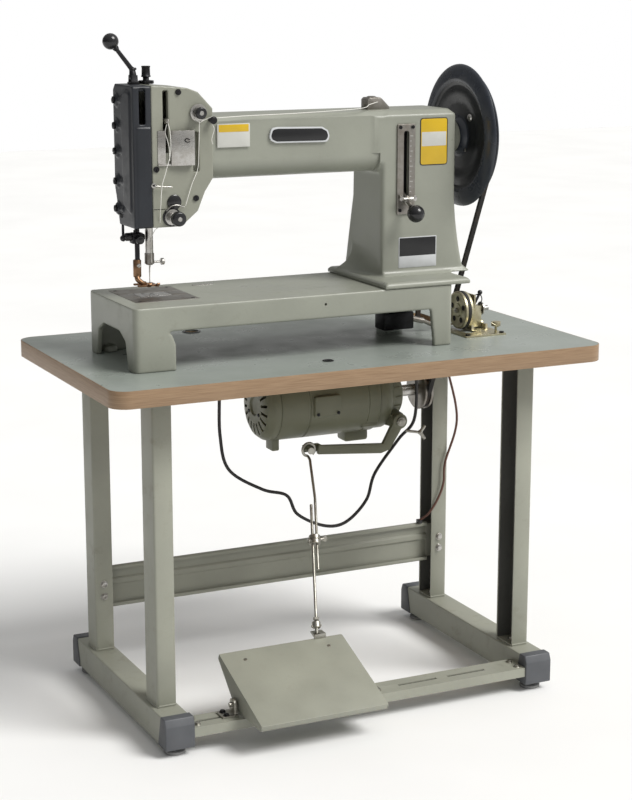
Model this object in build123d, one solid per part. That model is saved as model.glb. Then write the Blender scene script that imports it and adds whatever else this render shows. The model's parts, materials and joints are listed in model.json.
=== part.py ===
from build123d import *
import os
from math import asin, atan2, cos, degrees, hypot, pi, radians, sin

# Heavy-duty flat-bed leather sewing machine on its clutch-motor table.
# Millimetres, +Z up, +X towards the handwheel, -Y towards the operator.
# Y is measured from the table's centre line while building; the finished parts are moved by
# -origin_y, so that the frame's origin is on the floor under the middle of the whole machine.

# ---- driving dimensions -------------------------------------------------
origin_y = -34.25                  # half way from the treadle's heel edge to the table's back
run_gap = 0.05                     # radial clearance of every running fit

table_len = 1200
table_dep = 670
table_top_z = 832
table_thick = 38
laminate_t = 1.2
edging_t = 2
corner_r = 40

column_out_x = 477                 # outer faces of the stand columns
column_w = 44
steel_t = 3
front_column_y = (-226, -154)
back_column_y = (175, 238)
foot_bar_x = (424.5, 488.5)
foot_bar_y = (-302, 308)
foot_bar_z = (20, 87)
foot_cap_t = 8

machine_y = -10                    # centre plane of the arm and the needle
bed_x = (-495, 283)
bed_y = (-180, 112)
bed_top_z = 972
bed_apron_z = 918
bed_wall = 12
flange_x = (106, 326)
flange_t = 14

arm_y = (-88, 62)
arm_z = (1226, 1364)
shaft_z = 1295
shaft_r = 12.5
column_x = (145, 337)
head_x = (-413, -271)
head_z = (1130, 1434)
head_back_y = 34
cover_t = 42

needle_x = -394
needle_bar_r = 9
needle_bar_low_z = 1040
presser_x = -422
presser_bar_r = 5.5
foot_low_z = 992
take_up_x = -380
take_up_pivot = (-5, 1356)
lever_slot_x = 204                 # stitch-length lever plane
lever_pivot = (30, 1240)

wheel_r = 166
belt_x = 399                       # plane of the belt, behind the handwheel's broad rim
belt_wheel_r = 143
belt_pulley_r = 42
belt_w = 11
belt_t = 8
motor_y = 183
motor_z = 645
motor_r = 88
motor_shaft_r = 14.5

treadle_pivot = (-268, 85)         # y, z
treadle_x = (-305, 5)
treadle_len = 252
treadle_front = 129                 # from the pivot to the heel edge
treadle_tilt = 20.6
rod_low = (-52, -150, 190)
rod_top = (44, 92, 546)
ball_r = 7
ball_pin_r = 3
lever_hub = (291, 592)             # x, z of the clutch lever pin
lever_y = 92


# ---- small builders -----------------------------------------------------
def block(x, y, z):
    """Box from three (low, high) pairs."""
    size = [b - a for a, b in (x, y, z)]
    return Pos((x[0] + x[1]) / 2, (y[0] + y[1]) / 2, (z[0] + z[1]) / 2) * Box(*size)


def rod(p, q, r):
    """Round bar from point p to point q."""
    start = Vector(*p)
    way = Vector(*q) - start
    return Solid.make_cylinder(r, way.length, Plane(origin=start, z_dir=way.normalized()))


def cyl_x(x0, x1, y, z, r):
    return rod((x0, y, z), (x1, y, z), r)


def cyl_y(y0, y1, x, z, r):
    return rod((x, y0, z), (x, y1, z), r)


def cyl_z(z0, z1, x, y, r):
    return rod((x, y, z0), (x, y, z1), r)


def plate_xz(points, y0, y1):
    """Outline in X,Z given a thickness from y0 to y1."""
    face = Plane.XZ * make_face(Polyline(*points, close=True))
    return Pos(0, y1, 0) * extrude(face, y1 - y0)


def plate_yz(points, x0, x1):
    """Outline in Y,Z given a thickness from x0 to x1."""
    face = Plane.YZ * make_face(Polyline(*points, close=True))
    return Pos(x0, 0, 0) * extrude(face, x1 - x0)


def slab(width, depth, radius, z0, z1):
    return Pos(0, 0, z0) * extrude(RectangleRounded(width, depth, radius), z1 - z0)


def turned_x(points, y, z):
    """Solid of revolution about the line through (y, z) along X; points are (x, radius)."""
    face = Plane.XZ * make_face(Polyline(*points, close=True))
    return Pos(0, y, z) * revolve(face, Axis.X)


def group(shapes):
    solids = []
    for shape in shapes:
        solids += shape.solids()
    return Compound(solids)


parts = {}

# ---- belt geometry, shared by the belt, the table slot and the pulleys ----
wheel_c = (machine_y, shaft_z)
pulley_c = (motor_y, motor_z)
centre_dist = hypot(pulley_c[0] - wheel_c[0], pulley_c[1] - wheel_c[1])
lean = atan2(pulley_c[1] - wheel_c[1], pulley_c[0] - wheel_c[0])
spread = asin((belt_wheel_r - belt_pulley_r) / centre_dist)


def tangent_point(centre, r, side):
    """Where a belt run leaves a pulley; side -1 is the operator's side."""
    turn = lean + side * (pi / 2 - spread)
    return (centre[0] + r * cos(turn), centre[1] + r * sin(turn))


def belt_outline(grow):
    """Filled outline of the belt path, grown outwards by grow."""
    big = Pos(*wheel_c) * Circle(belt_wheel_r + grow)
    small = Pos(*pulley_c) * Circle(belt_pulley_r + grow)
    quad = [
        tangent_point(wheel_c, belt_wheel_r + grow, -1),
        tangent_point(pulley_c, belt_pulley_r + grow, -1),
        tangent_point(pulley_c, belt_pulley_r + grow, 1),
        tangent_point(wheel_c, belt_wheel_r + grow, 1),
    ]
    return big + small + make_face(Polyline(*quad, close=True))


def run_y(side, z):
    """Y of a belt run at height z."""
    a = tangent_point(wheel_c, belt_wheel_r, side)
    b = tangent_point(pulley_c, belt_pulley_r, side)
    return a[0] + (b[0] - a[0]) * (z - a[1]) / (b[1] - a[1])


# ---- table ----------------------------------------------------------------
def make_table():
    low = table_top_z - table_thick
    inner = (table_len - 2 * edging_t, table_dep - 2 * edging_t, corner_r - edging_t)
    slot = block(
        (belt_x - 18, belt_x + 18),
        (run_y(-1, low) - 28, run_y(1, table_top_z) + 28),
        (low - 1, table_top_z + 1),
    )
    cable_hole = cyl_z(low - 1, table_top_z + 1, -200, 230, 16)
    board = slab(*inner, low, table_top_z - laminate_t) - slot - cable_hole
    sheet = slab(*inner, table_top_z - laminate_t, table_top_z) - slot - cable_hole
    rim = slab(table_len, table_dep, corner_r, low, table_top_z) - slab(*inner, low - 1, table_top_z + 1)
    parts["table_board"] = board
    parts["table_laminate"] = sheet
    parts["table_edging"] = rim


# ---- stand ----------------------------------------------------------------
def channel_column(side, y):
    """C-section column, open towards the middle of the stand."""
    top = table_top_z - table_thick - 5
    outer = block((column_out_x - column_w, column_out_x), y, (foot_bar_z[1], top))
    inner = block(
        (column_out_x - column_w - 1, column_out_x - steel_t),
        (y[0] + steel_t, y[1] - steel_t),
        (foot_bar_z[1] - 1, top + 1),
    )
    column = outer - inner
    foot = block((column_out_x - column_w, column_out_x), y, (foot_bar_z[1], foot_bar_z[1] + 4))
    column = column + foot
    return column if side > 0 else mirror(column, Plane.YZ)


def make_stand():
    top = table_top_z - table_thick
    for side, word in ((-1, "left"), (1, "right")):
        parts["column_front_" + word] = channel_column(side, front_column_y)
        parts["column_back_" + word] = channel_column(side, back_column_y)
        bar = block(foot_bar_x, foot_bar_y, foot_bar_z)
        hollow = block(
            (foot_bar_x[0] + steel_t, foot_bar_x[1] - steel_t),
            (foot_bar_y[0] - 1, foot_bar_y[1] + 1),
            (foot_bar_z[0] + steel_t, foot_bar_z[1] - steel_t),
        )
        bar = bar - hollow
        rail = block((column_out_x - 52, column_out_x + 6), (-285, 290), (top - 5, top))
        parts["foot_bar_" + word] = bar if side > 0 else mirror(bar, Plane.YZ)
        parts["table_bearer_" + word] = rail if side > 0 else mirror(rail, Plane.YZ)
    caps = []
    feet = []
    mid_x = (foot_bar_x[0] + foot_bar_x[1]) / 2
    for side in (-1, 1):
        for y, way in ((foot_bar_y[0], -1), (foot_bar_y[1], 1)):
            y_pair = sorted((y, y + way * foot_cap_t))
            x_pair = sorted((side * foot_bar_x[0], side * foot_bar_x[1]))
            caps.append(block(x_pair, y_pair, foot_bar_z))
        for y in (foot_bar_y[0] + 30, foot_bar_y[1] - 30):
            pad = cyl_z(0, 9, side * mid_x, y, 24)
            neck = cyl_z(9, 13, side * mid_x, y, 12)
            nut = cyl_z(13, foot_bar_z[0], side * mid_x, y, 9)
            feet.append(pad + neck + nut)
    parts["foot_caps"] = group(caps)
    parts["levelling_feet"] = group(feet)


def make_rear_brace():
    """Folded sheet brace bolted into the back columns."""
    z0, z1 = 186, 288
    y0 = 204
    web = block((-470, 470), (y0, y0 + 2.5), (z0, z1))
    span = (-(column_out_x - column_w) + 1, column_out_x - column_w - 1)
    top_lip = block(span, (y0 - 10, y0), (z1 - 2.5, z1))
    low_lip = block(span, (y0 - 10, y0), (z0, z0 + 2.5))
    bead = block(span, (y0 - 5, y0), (z0 + 56, z0 + 68))
    parts["rear_brace"] = web + top_lip + low_lip + bead
    bolts = []
    for side in (-1, 1):
        for z in (z0 + 36, z0 + 66):
            x = side * (column_out_x - column_w / 2)
            head = cyl_y(back_column_y[0] - 5, back_column_y[0], x, z, 7)
            bolts.append(head)
    parts["brace_bolts"] = group(bolts)


def make_treadle_rail():
    """Flat channel between the foot bars that carries the treadle."""
    span = (-foot_bar_x[0], foot_bar_x[0])
    y = (-306, -238)
    z = (40, 62)
    outer = block(span, y, z)
    inner = block((span[0] - 1, span[1] + 1), (y[0] + steel_t, y[1] - steel_t), (z[0] - 1, z[1] - steel_t))
    rail = outer - inner
    for x0, x1 in ((-406, -335), (98, 200), (228, 329)):
        rail = rail - block((x0, x1), (-277, -268), (z[1] - 6, z[1] + 1))
    parts["treadle_rail"] = rail


# ---- treadle and pitman ------------------------------------------------------
def tilted(shape):
    """Turns a treadle part from level to its rest tilt about the pivot."""
    y, z = treadle_pivot
    return Pos(0, y, z) * Rot(treadle_tilt, 0, 0) * Pos(0, -y, -z) * shape


def make_treadle():
    y, z = treadle_pivot
    front = y - treadle_front
    back = front + treadle_len
    surface = z + 42
    plate = block(treadle_x, (front, back), (surface - 3, surface))
    side = [
        (front, surface - 3), (back, surface - 3), (back, surface - 14),
        (y + 16, z - 12), (y - 16, z - 12), (front, surface - 14),
    ]
    for x in (treadle_x[0], treadle_x[1] - 4):
        cheek = plate_yz(side, x, x + 4)
        plate = plate + cheek
    bar = cyl_x(treadle_x[0], treadle_x[1], y, z, 7)
    plate = plate + bar
    for x0, x1 in ((treadle_x[0] - 19, treadle_x[0]), (treadle_x[1], treadle_x[1] + 19)):
        plate = plate + cyl_x(x0, x1, y, z, 5)
    parts["treadle_plate"] = tilted(plate)
    brackets = []
    for x, way in ((treadle_x[0] - 4, -1), (treadle_x[1] + 4, 1)):
        ear_x = sorted((x, x + way * 8))
        foot_x = sorted((x, x + way * 38))
        ear = block(ear_x, (y - 14, y + 14), (62, z)) + cyl_x(*ear_x, y, z, 14)
        foot = block(foot_x, (y - 20, y + 20), (62, 66))
        bore = cyl_x(ear_x[0] - 1, ear_x[1] + 1, y, z, 5 + run_gap)
        brackets.append(ear + foot - bore)
    parts["treadle_brackets"] = group(brackets)
    # ball stud with its cross pin, seated on the plate's far edge
    low = Vector(*rod_low)
    ball = Pos(low.X, low.Y, low.Z) * Sphere(ball_r)
    pin = cyl_x(low.X - 12, low.X + 12, low.Y, low.Z, ball_pin_r)
    way = (Vector(*rod_top) - low).normalized()
    stem = rod(low, low - way * 18, 4)
    post = block((low.X - 14, low.X + 14), (low.Y - 22, low.Y + 4), (low.Z - 40, low.Z - 12.5))
    under_plate = block((treadle_x[0], treadle_x[1]), (front - 50, back + 60), (surface - 60, surface))
    parts["treadle_ball"] = ball + pin + stem + (post - tilted(under_plate))


def make_pitman():
    """Two overlapping rods joined by a clamp, ball socket below and open eye above."""
    low = Vector(*rod_low)
    top = Vector(*rod_top)
    way = (top - low).normalized()
    side = Vector(1, 0, 0)
    wire_r = 3.4
    split = low + way * 210
    lower = rod((low + way * 10), (low + way * 300), wire_r)
    cup = rod((low - way * 5), (low + way * 13), 10)
    cup = cup - Pos(low.X, low.Y, low.Z) * Sphere(ball_r + run_gap) - rod(low, low - way * 6, 6)
    cup = cup - cyl_x(low.X - 14, low.X + 14, low.Y, low.Z, ball_pin_r + run_gap)
    parts["pitman_lower_rod"] = lower + cup
    a = low + way * 136 + side * 11
    bend = low + way * 316 + side * 11
    b = top - way * 15
    opening = cyl_y(top.Y - 6, top.Y + 6, top.X, top.Z, 13)
    eye = cyl_y(top.Y - 5, top.Y + 5, top.X, top.Z, 19) - opening
    upper = rod(a, bend, wire_r) + Pos(*bend) * Sphere(wire_r) + rod(bend, b, wire_r) - opening
    parts["pitman_upper_rod"] = upper + eye
    clamp = rod((split - way * 11 + side * 5.5), (split + way * 11 + side * 5.5), 14)
    clamp = clamp - parts["pitman_lower_rod"] - parts["pitman_upper_rod"]
    screw = cyl_x(split.X + 18, split.X + 30, split.Y, split.Z, 3)
    wing = cyl_x(split.X + 30, split.X + 35, split.Y, split.Z, 9)
    parts["pitman_clamp"] = clamp
    parts["pitman_clamp_screw"] = (screw + wing) - clamp


# ---- motor and clutch -------------------------------------------------------
def make_motor():
    x0 = -22
    x1 = 245
    seam_x = 52
    body = cyl_x(x0, seam_x - 1, motor_y, motor_z, motor_r)
    body = body + cyl_x(seam_x - 2, seam_x + 2, motor_y, motor_z, motor_r - 2)
    body = body + cyl_x(seam_x + 1, x1, motor_y, motor_z, motor_r)
    for x in (x0 + 35, x1 - 60):
        lug = block((x, x + 26), (motor_y - 30, motor_y + 30), (motor_z + 60, table_top_z - table_thick - 6))
        body = body + lug
    foot = block((-20, -1), (motor_y - 20, motor_y + 20), (532, motor_z - 60))
    drain = block((176, 240), (motor_y - 24, motor_y + 24), (535, motor_z - 60))
    body = body + foot + drain
    bore = cyl_x(x0 - 1, x1 + 1, motor_y, motor_z, 30)
    parts["motor_body"] = body - bore
    under_table = table_top_z - table_thick
    bracket = block((x0 + 20, x1 - 20), (motor_y - 60, motor_y + 60), (under_table - 6, under_table))
    parts["motor_mount_plate"] = bracket
    shell = [(x0, 0), (x0, 86), (x0 - 12, 86), (x0 - 34, 68), (x0 - 38, 40), (x0 - 38, 0)]
    inside = [(x0 + 1, 0), (x0 + 1, 80), (x0 - 11, 80), (x0 - 30, 64), (x0 - 34, 38), (x0 - 34, 0)]
    cover = turned_x(shell, motor_y, motor_z) - turned_x(inside, motor_y, motor_z)
    for k in range(18):
        turn = k * 20
        vent = Pos(x0 - 25, motor_y, motor_z) * Rot(turn, 0, 0) * Pos(0, 0, 56) * Box(40, 7, 26)
        cover = cover - vent
    parts["motor_end_cover"] = cover
    bore_r = motor_shaft_r + run_gap
    outline = [
        (x1, 30), (x1, 84), (x1 + 30, 84), (x1 + 48, 62),
        (x1 + 75, 58), (x1 + 75, bore_r), (x1 + 60, bore_r), (x1 + 60, 30),
    ]
    hx, hz = lever_hub
    lug = block((hx - 16, hx + 16), (lever_y + 7, motor_y - 30), (hz - 16, hz + 16))
    housing = turned_x(outline, motor_y, motor_z) + (lug - cyl_x(x1, x1 + 75, motor_y, motor_z, 50))
    pin_hole = cyl_y(lever_y + 6, lever_y + 32, lever_hub[0], lever_hub[1], 6)
    parts["clutch_housing"] = housing - pin_hole
    pin = cyl_y(lever_y - 8, lever_y + 32, lever_hub[0], lever_hub[1], 6)
    pin = pin + cyl_y(lever_y - 13, lever_y - 8, lever_hub[0], lever_hub[1], 11)
    parts["clutch_lever_pin"] = pin


def make_motor_pulley():
    r_rim = belt_pulley_r + 8
    r_root = belt_pulley_r - belt_t / 2 - 0.3
    half = belt_w / 2 + 0.2
    x0 = belt_x - 14
    x1 = belt_x + 14
    outline = [
        (x0, 0), (x0, r_rim), (belt_x - half, r_rim), (belt_x - half, r_root),
        (belt_x + half, r_root), (belt_x + half, r_rim), (x1, r_rim), (x1, 0),
    ]
    pulley = turned_x(outline, motor_y, motor_z)
    parts["motor_pulley"] = pulley - cyl_x(x0 - 1, x1 + 1, motor_y, motor_z, motor_shaft_r)
    shaft = cyl_x(-34, x1 + 10, motor_y, motor_z, motor_shaft_r) + cyl_x(30, 200, motor_y, motor_z, 27)
    parts["motor_shaft"] = shaft


def make_clutch_lever():
    """Bell crank: short arm under the pin, long arm out to the pitman eye."""
    y0, y1 = lever_y - 6, lever_y + 6
    hx, hz = lever_hub
    tx, tz = rod_top[0], rod_top[2]
    arm = [
        (tx - 8, tz - 8), (tx + 10, tz - 12), (hx - 52, hz - 75), (hx - 28, hz - 68),
        (hx + 12, hz - 6), (hx - 14, hz + 6), (hx - 46, hz - 52), (tx + 16, tz + 9), (tx - 8, tz + 8),
    ]
    lever = plate_xz(arm, y0, y1) + cyl_y(y0, y1, hx, hz, 17)
    lever = lever - block((tx - 30, tx + 24), (y0 - 1, y1 + 1), (tz - 30, tz + 30))
    arm_end = block((tx + 22, tx + 34), (y0 + 14, y1 + 14), (tz - 9, tz + 9))
    bridge = block((tx + 24, tx + 34), (y0, y1 + 14), (tz - 9, tz + 9))
    toe = block((tx - 8, tx + 34), (y1 + 2, y1 + 14), (tz - 8, tz + 8))
    peg = cyl_y(lever_y - 12, y1 + 3, tx, tz, 5)
    lever = lever + bridge + arm_end + toe + peg
    bore = cyl_y(y0 - 1, y1 + 1, hx, hz, 6 + run_gap)
    parts["clutch_lever"] = lever - bore


def make_belt():
    ring = belt_outline(belt_t / 2) - belt_outline(-belt_t / 2)
    solid = extrude(Plane.YZ * ring, belt_w)
    parts["drive_belt"] = Pos(belt_x - belt_w / 2, 0, 0) * solid


# ---- bed ------------------------------------------------------------------
def make_bed():
    z0 = table_top_z
    outer = block(bed_x, bed_y, (z0, bed_top_z))
    outer = fillet(outer.edges().filter_by(Axis.Z), 14)
    inner = block(
        (bed_x[0] + bed_wall, bed_x[1] - bed_wall),
        (bed_y[0] + bed_wall, bed_y[1] - bed_wall),
        (z0 - 1, bed_top_z - bed_wall),
    )
    bed = outer - inner
    left = bed_x[0] + 95
    right_top = bed_x[1] - 58
    right_low = bed_x[1] - 48
    window = [
        (left, z0 - 1), (left, bed_apron_z - 30), (left - 8, bed_apron_z - 8), (left - 20, bed_apron_z),
        (right_top, bed_apron_z), (right_low, z0 - 1),
    ]
    bed = bed - plate_xz(window, bed_y[0] - 1, bed_y[1] + 1)
    arch = [
        (bed_y[0] + 45, z0 - 1), (bed_y[0] + 60, z0 + 60), (bed_y[0] + 95, bed_apron_z - 8),
        (bed_y[1] - 95, bed_apron_z - 8), (bed_y[1] - 60, z0 + 60), (bed_y[1] - 45, z0 - 1),
    ]
    bed = bed - plate_yz(arch, bed_x[0] - 1, bed_x[1] + 1)
    well = block((-460, -312), (machine_y - 92, machine_y + 92), (bed_top_z - 5, bed_top_z + 1))
    bed = bed - well
    bed = bed - block((-436, -350), (machine_y - 45, machine_y + 45), (bed_top_z - 20, bed_top_z))
    for x in (-150, 60):
        boss = block((x - 9, x + 9), (machine_y - 20, machine_y + 20), (bed_top_z - 56, bed_top_z - bed_wall))
        bed = bed + boss - cyl_x(x - 10, x + 10, machine_y, bed_top_z - 42, 8 + run_gap)
    parts["bed_casting"] = bed


def make_bed_top_parts():
    z1 = bed_top_z
    y = machine_y
    needle_hole = cyl_z(z1 - 6, z1 + 1, needle_x, y, 3)
    plate = block((-425, -350), (y - 26, y + 26), (z1 - 5, z1)) - needle_hole
    slot_x = (needle_x - 15, needle_x + 15)
    for x0, x1 in ((slot_x[0], needle_x - 6), (needle_x + 6, slot_x[1])):
        plate = plate - block((x0, x1), (y - 19, y + 19), (z1 - 6, z1 + 1))
    parts["needle_plate"] = plate
    near = block((-460, -312), (y - 92, y - 26.3), (z1 - 5, z1))
    far = block((-460, -312), (y + 26.3, y + 92), (z1 - 5, z1))
    left = block((-460, -425.3), (y - 26.3, y + 26.3), (z1 - 5, z1))
    right = block((-349.7, -312), (y - 26.3, y + 26.3), (z1 - 5, z1))
    parts["slide_plates"] = group([near + left + right + far])
    dog = block((slot_x[0] + 0.4, slot_x[1] - 0.4), (y - 12, y + 12), (z1 - 13, z1 - 7))
    for x0, x1 in ((slot_x[0] + 0.4, needle_x - 6.4), (needle_x + 6.4, slot_x[1] - 0.4)):
        dog = dog + block((x0, x1), (y - 12, y + 12), (z1 - 7, z1 + 0.6))
    dog = dog - cyl_z(z1 - 14, z1 - 6, needle_x, y, 5.4)
    parts["feed_dog"] = dog


def make_hook_shaft():
    z = bed_top_z - 42
    shaft = cyl_x(-352, 120, machine_y, z, 8)
    hook = cyl_x(-384, -352, machine_y, z, 24) - cyl_x(-385, -360, machine_y, z, 19)
    collar = cyl_x(72, 90, machine_y, z, 15) + cyl_x(-138, -126, machine_y, z, 14)
    parts["hook_shaft"] = shaft + hook + collar


# ---- arm --------------------------------------------------------------------
def column_section(z, grow_right, grow_back):
    width = column_x[1] + grow_right - column_x[0]
    depth = arm_y[1] + grow_back - arm_y[0]
    centre = Pos(column_x[0] + width / 2, arm_y[0] + depth / 2, z)
    return centre * RectangleRounded(width, depth, 10)


def make_arm():
    base_z = bed_top_z + flange_t
    flange = block(flange_x, (bed_y[0] - 4, bed_y[1] + 6), (bed_top_z, base_z))
    flange = chamfer(flange.edges().group_by(Axis.Z)[-1], 6)
    waist_z = 1160
    shoulder_z = arm_z[1] - 12
    base = column_section(base_z, 27, 46)
    knee = column_section(base_z + 70, 12, 30)
    waist = column_section(waist_z, 0, 5)
    shoulder = column_section(shoulder_z, 0, 0)
    crown = Pos((column_x[0] + column_x[1]) / 2, (arm_y[0] + arm_y[1]) / 2, arm_z[1])
    crown = crown * RectangleRounded(column_x[1] - column_x[0] - 26, arm_y[1] - arm_y[0] - 26, 10)
    column = loft([base, knee, waist]) + loft([waist, shoulder]) + loft([shoulder, crown])
    y0, y1 = arm_y
    z0, z1 = arm_z
    section = [
        (y0, z0 + 22), (y0 + 18, z0), (y1 - 18, z0), (y1, z0 + 22),
        (y1, z1 - 14), (y1 - 14, z1), (y0 + 14, z1), (y0, z1 - 14),
    ]
    beam = plate_yz(section, head_x[1], column_x[0] + 20)
    boss = cyl_x(column_x[1] - 6, column_x[1] + 16, machine_y, shaft_z, 40)
    arm = flange + column + beam + boss
    arm = arm - cyl_x(head_x[1] - 1, column_x[1] + 20, machine_y, shaft_z, shaft_r + run_gap)
    hollow_y = (arm_y[0] + 14, arm_y[1] - 14)
    arm = arm - block((head_x[1] + 25, column_x[0] - 5), (y0 + 14, y1 - 14), (z0 + 24, z1 - 14))
    arm = arm - block((column_x[0] + 16, column_x[1] - 16), hollow_y, (bed_top_z + 30, 1348))
    slot = block((lever_slot_x - 8, lever_slot_x + 8), (y0 - 1, y0 + 20), (1148, 1326))
    arm = arm - slot
    parts["arm_casting"] = arm


def head_outline():
    x0, x1 = head_x
    z0, z1 = head_z
    return [
        (x0, z0), (x1 - 76, z0), (x1 - 37, z0 + 32), (x1 - 20, z0 + 73), (x1, z0 + 103),
        (x1, z1 - 52), (x1 - 34, z1 - 16), (x1 - 58, z1 - 7), (x0, z1),
    ]


def make_head():
    x0, x1 = head_x
    y0 = arm_y[0]
    head = plate_xz(head_outline(), y0, head_back_y)
    cavity = block((x0 - 1, x1 - 50), (y0 + 14, head_back_y - 12), (head_z[0] + 14, head_z[1] - 14))
    head = head - cavity
    head = head - block((take_up_x - 6, take_up_x + 6), (y0 - 1, y0 + 15), (1290, 1423))
    head = head - block((-318, -304), (y0 - 1, y0 + 15), (1247, 1333))
    head = head - cyl_x(x0 - 1, x1 + 1, machine_y, shaft_z, shaft_r + 2)
    head = head - cyl_z(head_z[0] - 1, head_z[1] + 1, needle_x, machine_y, needle_bar_r + run_gap)
    parts["head_casting"] = head
    pin = cyl_x(take_up_x - 2.8, x1 - 50, *take_up_pivot, 6)
    parts["take_up_pin"] = pin


def make_cover():
    """End cover closing the head, with the presser bar running inside it."""
    x1 = head_x[0]
    x0 = x1 - cover_t
    y0, y1 = arm_y[0], head_back_y
    z0, z1 = head_z
    outline = [
        (y0, z0), (y1 - 26, z0), (y1 - 8, z0 + 60), (y1, z0 + 78),
        (y1, z1 - 12), (y1 - 12, z1), (y0 + 4, z1), (y0, z1 - 4),
    ]
    cover = plate_yz(outline, x0, x1)
    inside = [
        (y0 + 6, z0 + 12), (y1 - 33, z0 + 12), (y1 - 15, z0 + 66), (y1 - 7, z0 + 84),
        (y1 - 7, z1 - 16), (y1 - 16, z1 - 12), (y0 + 6, z1 - 12),
    ]
    cover = cover - plate_yz(inside, x0 + 7, x1 + 1)
    cover = cover - cyl_z(z0 - 1, z0 + 20, presser_x, machine_y, presser_bar_r + run_gap)
    cover = cover - block((-440, -426), (y0 - 1, y0 + 8), (1352, 1428))
    parts["face_cover"] = cover
    screws = []
    for z in (1165, 1225, 1290, 1345, 1400):
        screws.append(cyl_x(x0 - 7, x0, y1 - 24, z, 8) + cyl_x(x0 - 10, x0 - 7, y1 - 24, z, 5))
    parts["cover_screws"] = group(screws)


def make_needle_bar():
    top_z = head_z[1] - 38
    bar = cyl_z(needle_bar_low_z, top_z, needle_x, machine_y, needle_bar_r)
    bar = bar - cyl_z(needle_bar_low_z - 1, needle_bar_low_z + 22, needle_x, machine_y, 1.6)
    parts["needle_bar"] = bar
    screw = cyl_x(needle_x + needle_bar_r, needle_x + 26, machine_y - 4, needle_bar_low_z + 6, 2.5)
    screw = screw + cyl_x(needle_x + 26, needle_x + 33, machine_y - 4, needle_bar_low_z + 6, 7)
    parts["needle_screw"] = screw
    shank = cyl_z(needle_bar_low_z - 18, needle_bar_low_z + 21, needle_x, machine_y, 1.6)
    blade = cyl_z(needle_bar_low_z - 44, needle_bar_low_z - 18, needle_x, machine_y, 1.1)
    point = Pos(needle_x, machine_y, needle_bar_low_z - 47) * Cone(0.2, 1.1, 6)
    parts["needle"] = shank + blade + point


def make_presser():
    low = foot_low_z
    bar = cyl_z(low + 34, head_z[1] - 24, presser_x, machine_y, presser_bar_r)
    parts["presser_bar"] = bar
    block_part = block((presser_x - 14, presser_x + 11), (machine_y - 11, machine_y + 11), (1088, 1112))
    block_part = block_part - cyl_z(1080, 1120, presser_x, machine_y, presser_bar_r)
    parts["presser_guide_block"] = block_part
    left_screw = cyl_x(presser_x - 22, presser_x - 14, machine_y - 4, 1104, 3)
    left_screw = left_screw + cyl_x(presser_x - 30, presser_x - 22, machine_y - 4, 1104, 8)
    front_screw = cyl_y(machine_y - 17, machine_y - 11, presser_x - 1, 1098, 3)
    front_screw = front_screw + cyl_y(machine_y - 25, machine_y - 17, presser_x - 1, 1098, 8)
    parts["guide_block_screws"] = group([left_screw, front_screw])
    shank = block((presser_x - 9, presser_x + 6.5), (machine_y - 9, machine_y + 9), (low + 20, low + 60))
    shank = shank - cyl_z(low + 33.9, low + 61, presser_x, machine_y, presser_bar_r)
    ankle = [
        (presser_x - 9, low + 21), (presser_x + 6.5, low + 21),
        (presser_x + 16, low + 7), (presser_x + 16, low), (presser_x - 6, low),
    ]
    foot = shank + plate_xz(ankle, machine_y - 8, machine_y + 8)
    sole = block((presser_x - 6, needle_x + 14), (machine_y - 22, machine_y + 20), (low, low + 4))
    toe = Rot(25, 0, 0) * Box(needle_x + 20 - presser_x, 14, 4)
    toe = Pos((presser_x - 6 + needle_x + 14) / 2, machine_y - 22, low + 4) * toe
    foot = foot + sole + toe
    foot = foot - cyl_z(low - 1, low + 8, needle_x, machine_y, 5)
    parts["presser_foot"] = foot


def make_presser_lifter():
    """Ball-ended hand lever on a post on top of the end cover."""
    y = machine_y
    z1 = head_z[1]
    pivot_z = z1 + 14
    ear = [
        (presser_x - 9, z1), (presser_x + 6, z1),
        (presser_x + 5, pivot_z + 5), (presser_x - 8, pivot_z + 5),
    ]
    left = block((presser_x - 10, presser_x + 7), (y - 14, y - 5.2), (z1, z1 + 6))
    left = left + plate_xz(ear, y - 11, y - 5.2)
    right = plate_xz(ear, y + 5.2, y + 11)
    floor = block((presser_x - 10, presser_x + 7), (y - 14, y + 14), (z1, z1 + 4))
    post = left + right + floor
    post = post + cyl_y(y - 11, y + 11, presser_x - 1.5, pivot_z, 3)
    parts["lifter_post"] = post
    knee = (presser_x - 3, y, z1 + 30)
    ball = (-473, y, 1525)
    lever = rod((presser_x - 1.5, y, pivot_z), knee, 4.2) + rod(knee, ball, 3.6) + Pos(*knee) * Sphere(5.5)
    lever = lever + cyl_y(y - 5, y + 5, presser_x - 1.5, pivot_z, 7.5)
    lever = lever - cyl_y(y - 6, y + 6, presser_x - 1.5, pivot_z, 3 + run_gap)
    parts["presser_lifter"] = lever + Pos(*ball) * Sphere(17.5)


def make_presser_screw():
    z1 = head_z[1]
    collar = cyl_z(z1, z1 + 7, needle_x, machine_y, 16)
    collar = collar - cyl_z(z1 - 1, z1 + 8, needle_x, machine_y, 7 + run_gap)
    parts["adjuster_nut"] = collar
    screw = cyl_z(z1 - 16, z1 + 7, needle_x, machine_y, 7) + cyl_z(z1 + 15, z1 + 38, needle_x, machine_y, 10)
    screw = screw + cyl_z(z1 + 7, z1 + 15, needle_x, machine_y, 7)
    parts["presser_adjuster"] = screw


def make_take_up():
    y, z = take_up_pivot
    hub = cyl_x(take_up_x - 2.8, take_up_x + 8, y, z, 13)
    side = [(y, z - 9), (y, z + 9), (y - 84, z + 8), (y - 98, z + 9), (y - 98, z - 3), (y - 84, z - 4)]
    arm = plate_yz(side, take_up_x - 2.5, take_up_x + 2.5)
    lever = hub + arm - cyl_x(take_up_x - 8, take_up_x + 10, y, z, 6 + run_gap)
    lever = lever - cyl_x(take_up_x - 4, take_up_x + 4, y - 92, z + 3, 2.4)
    parts["take_up_lever"] = lever


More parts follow.
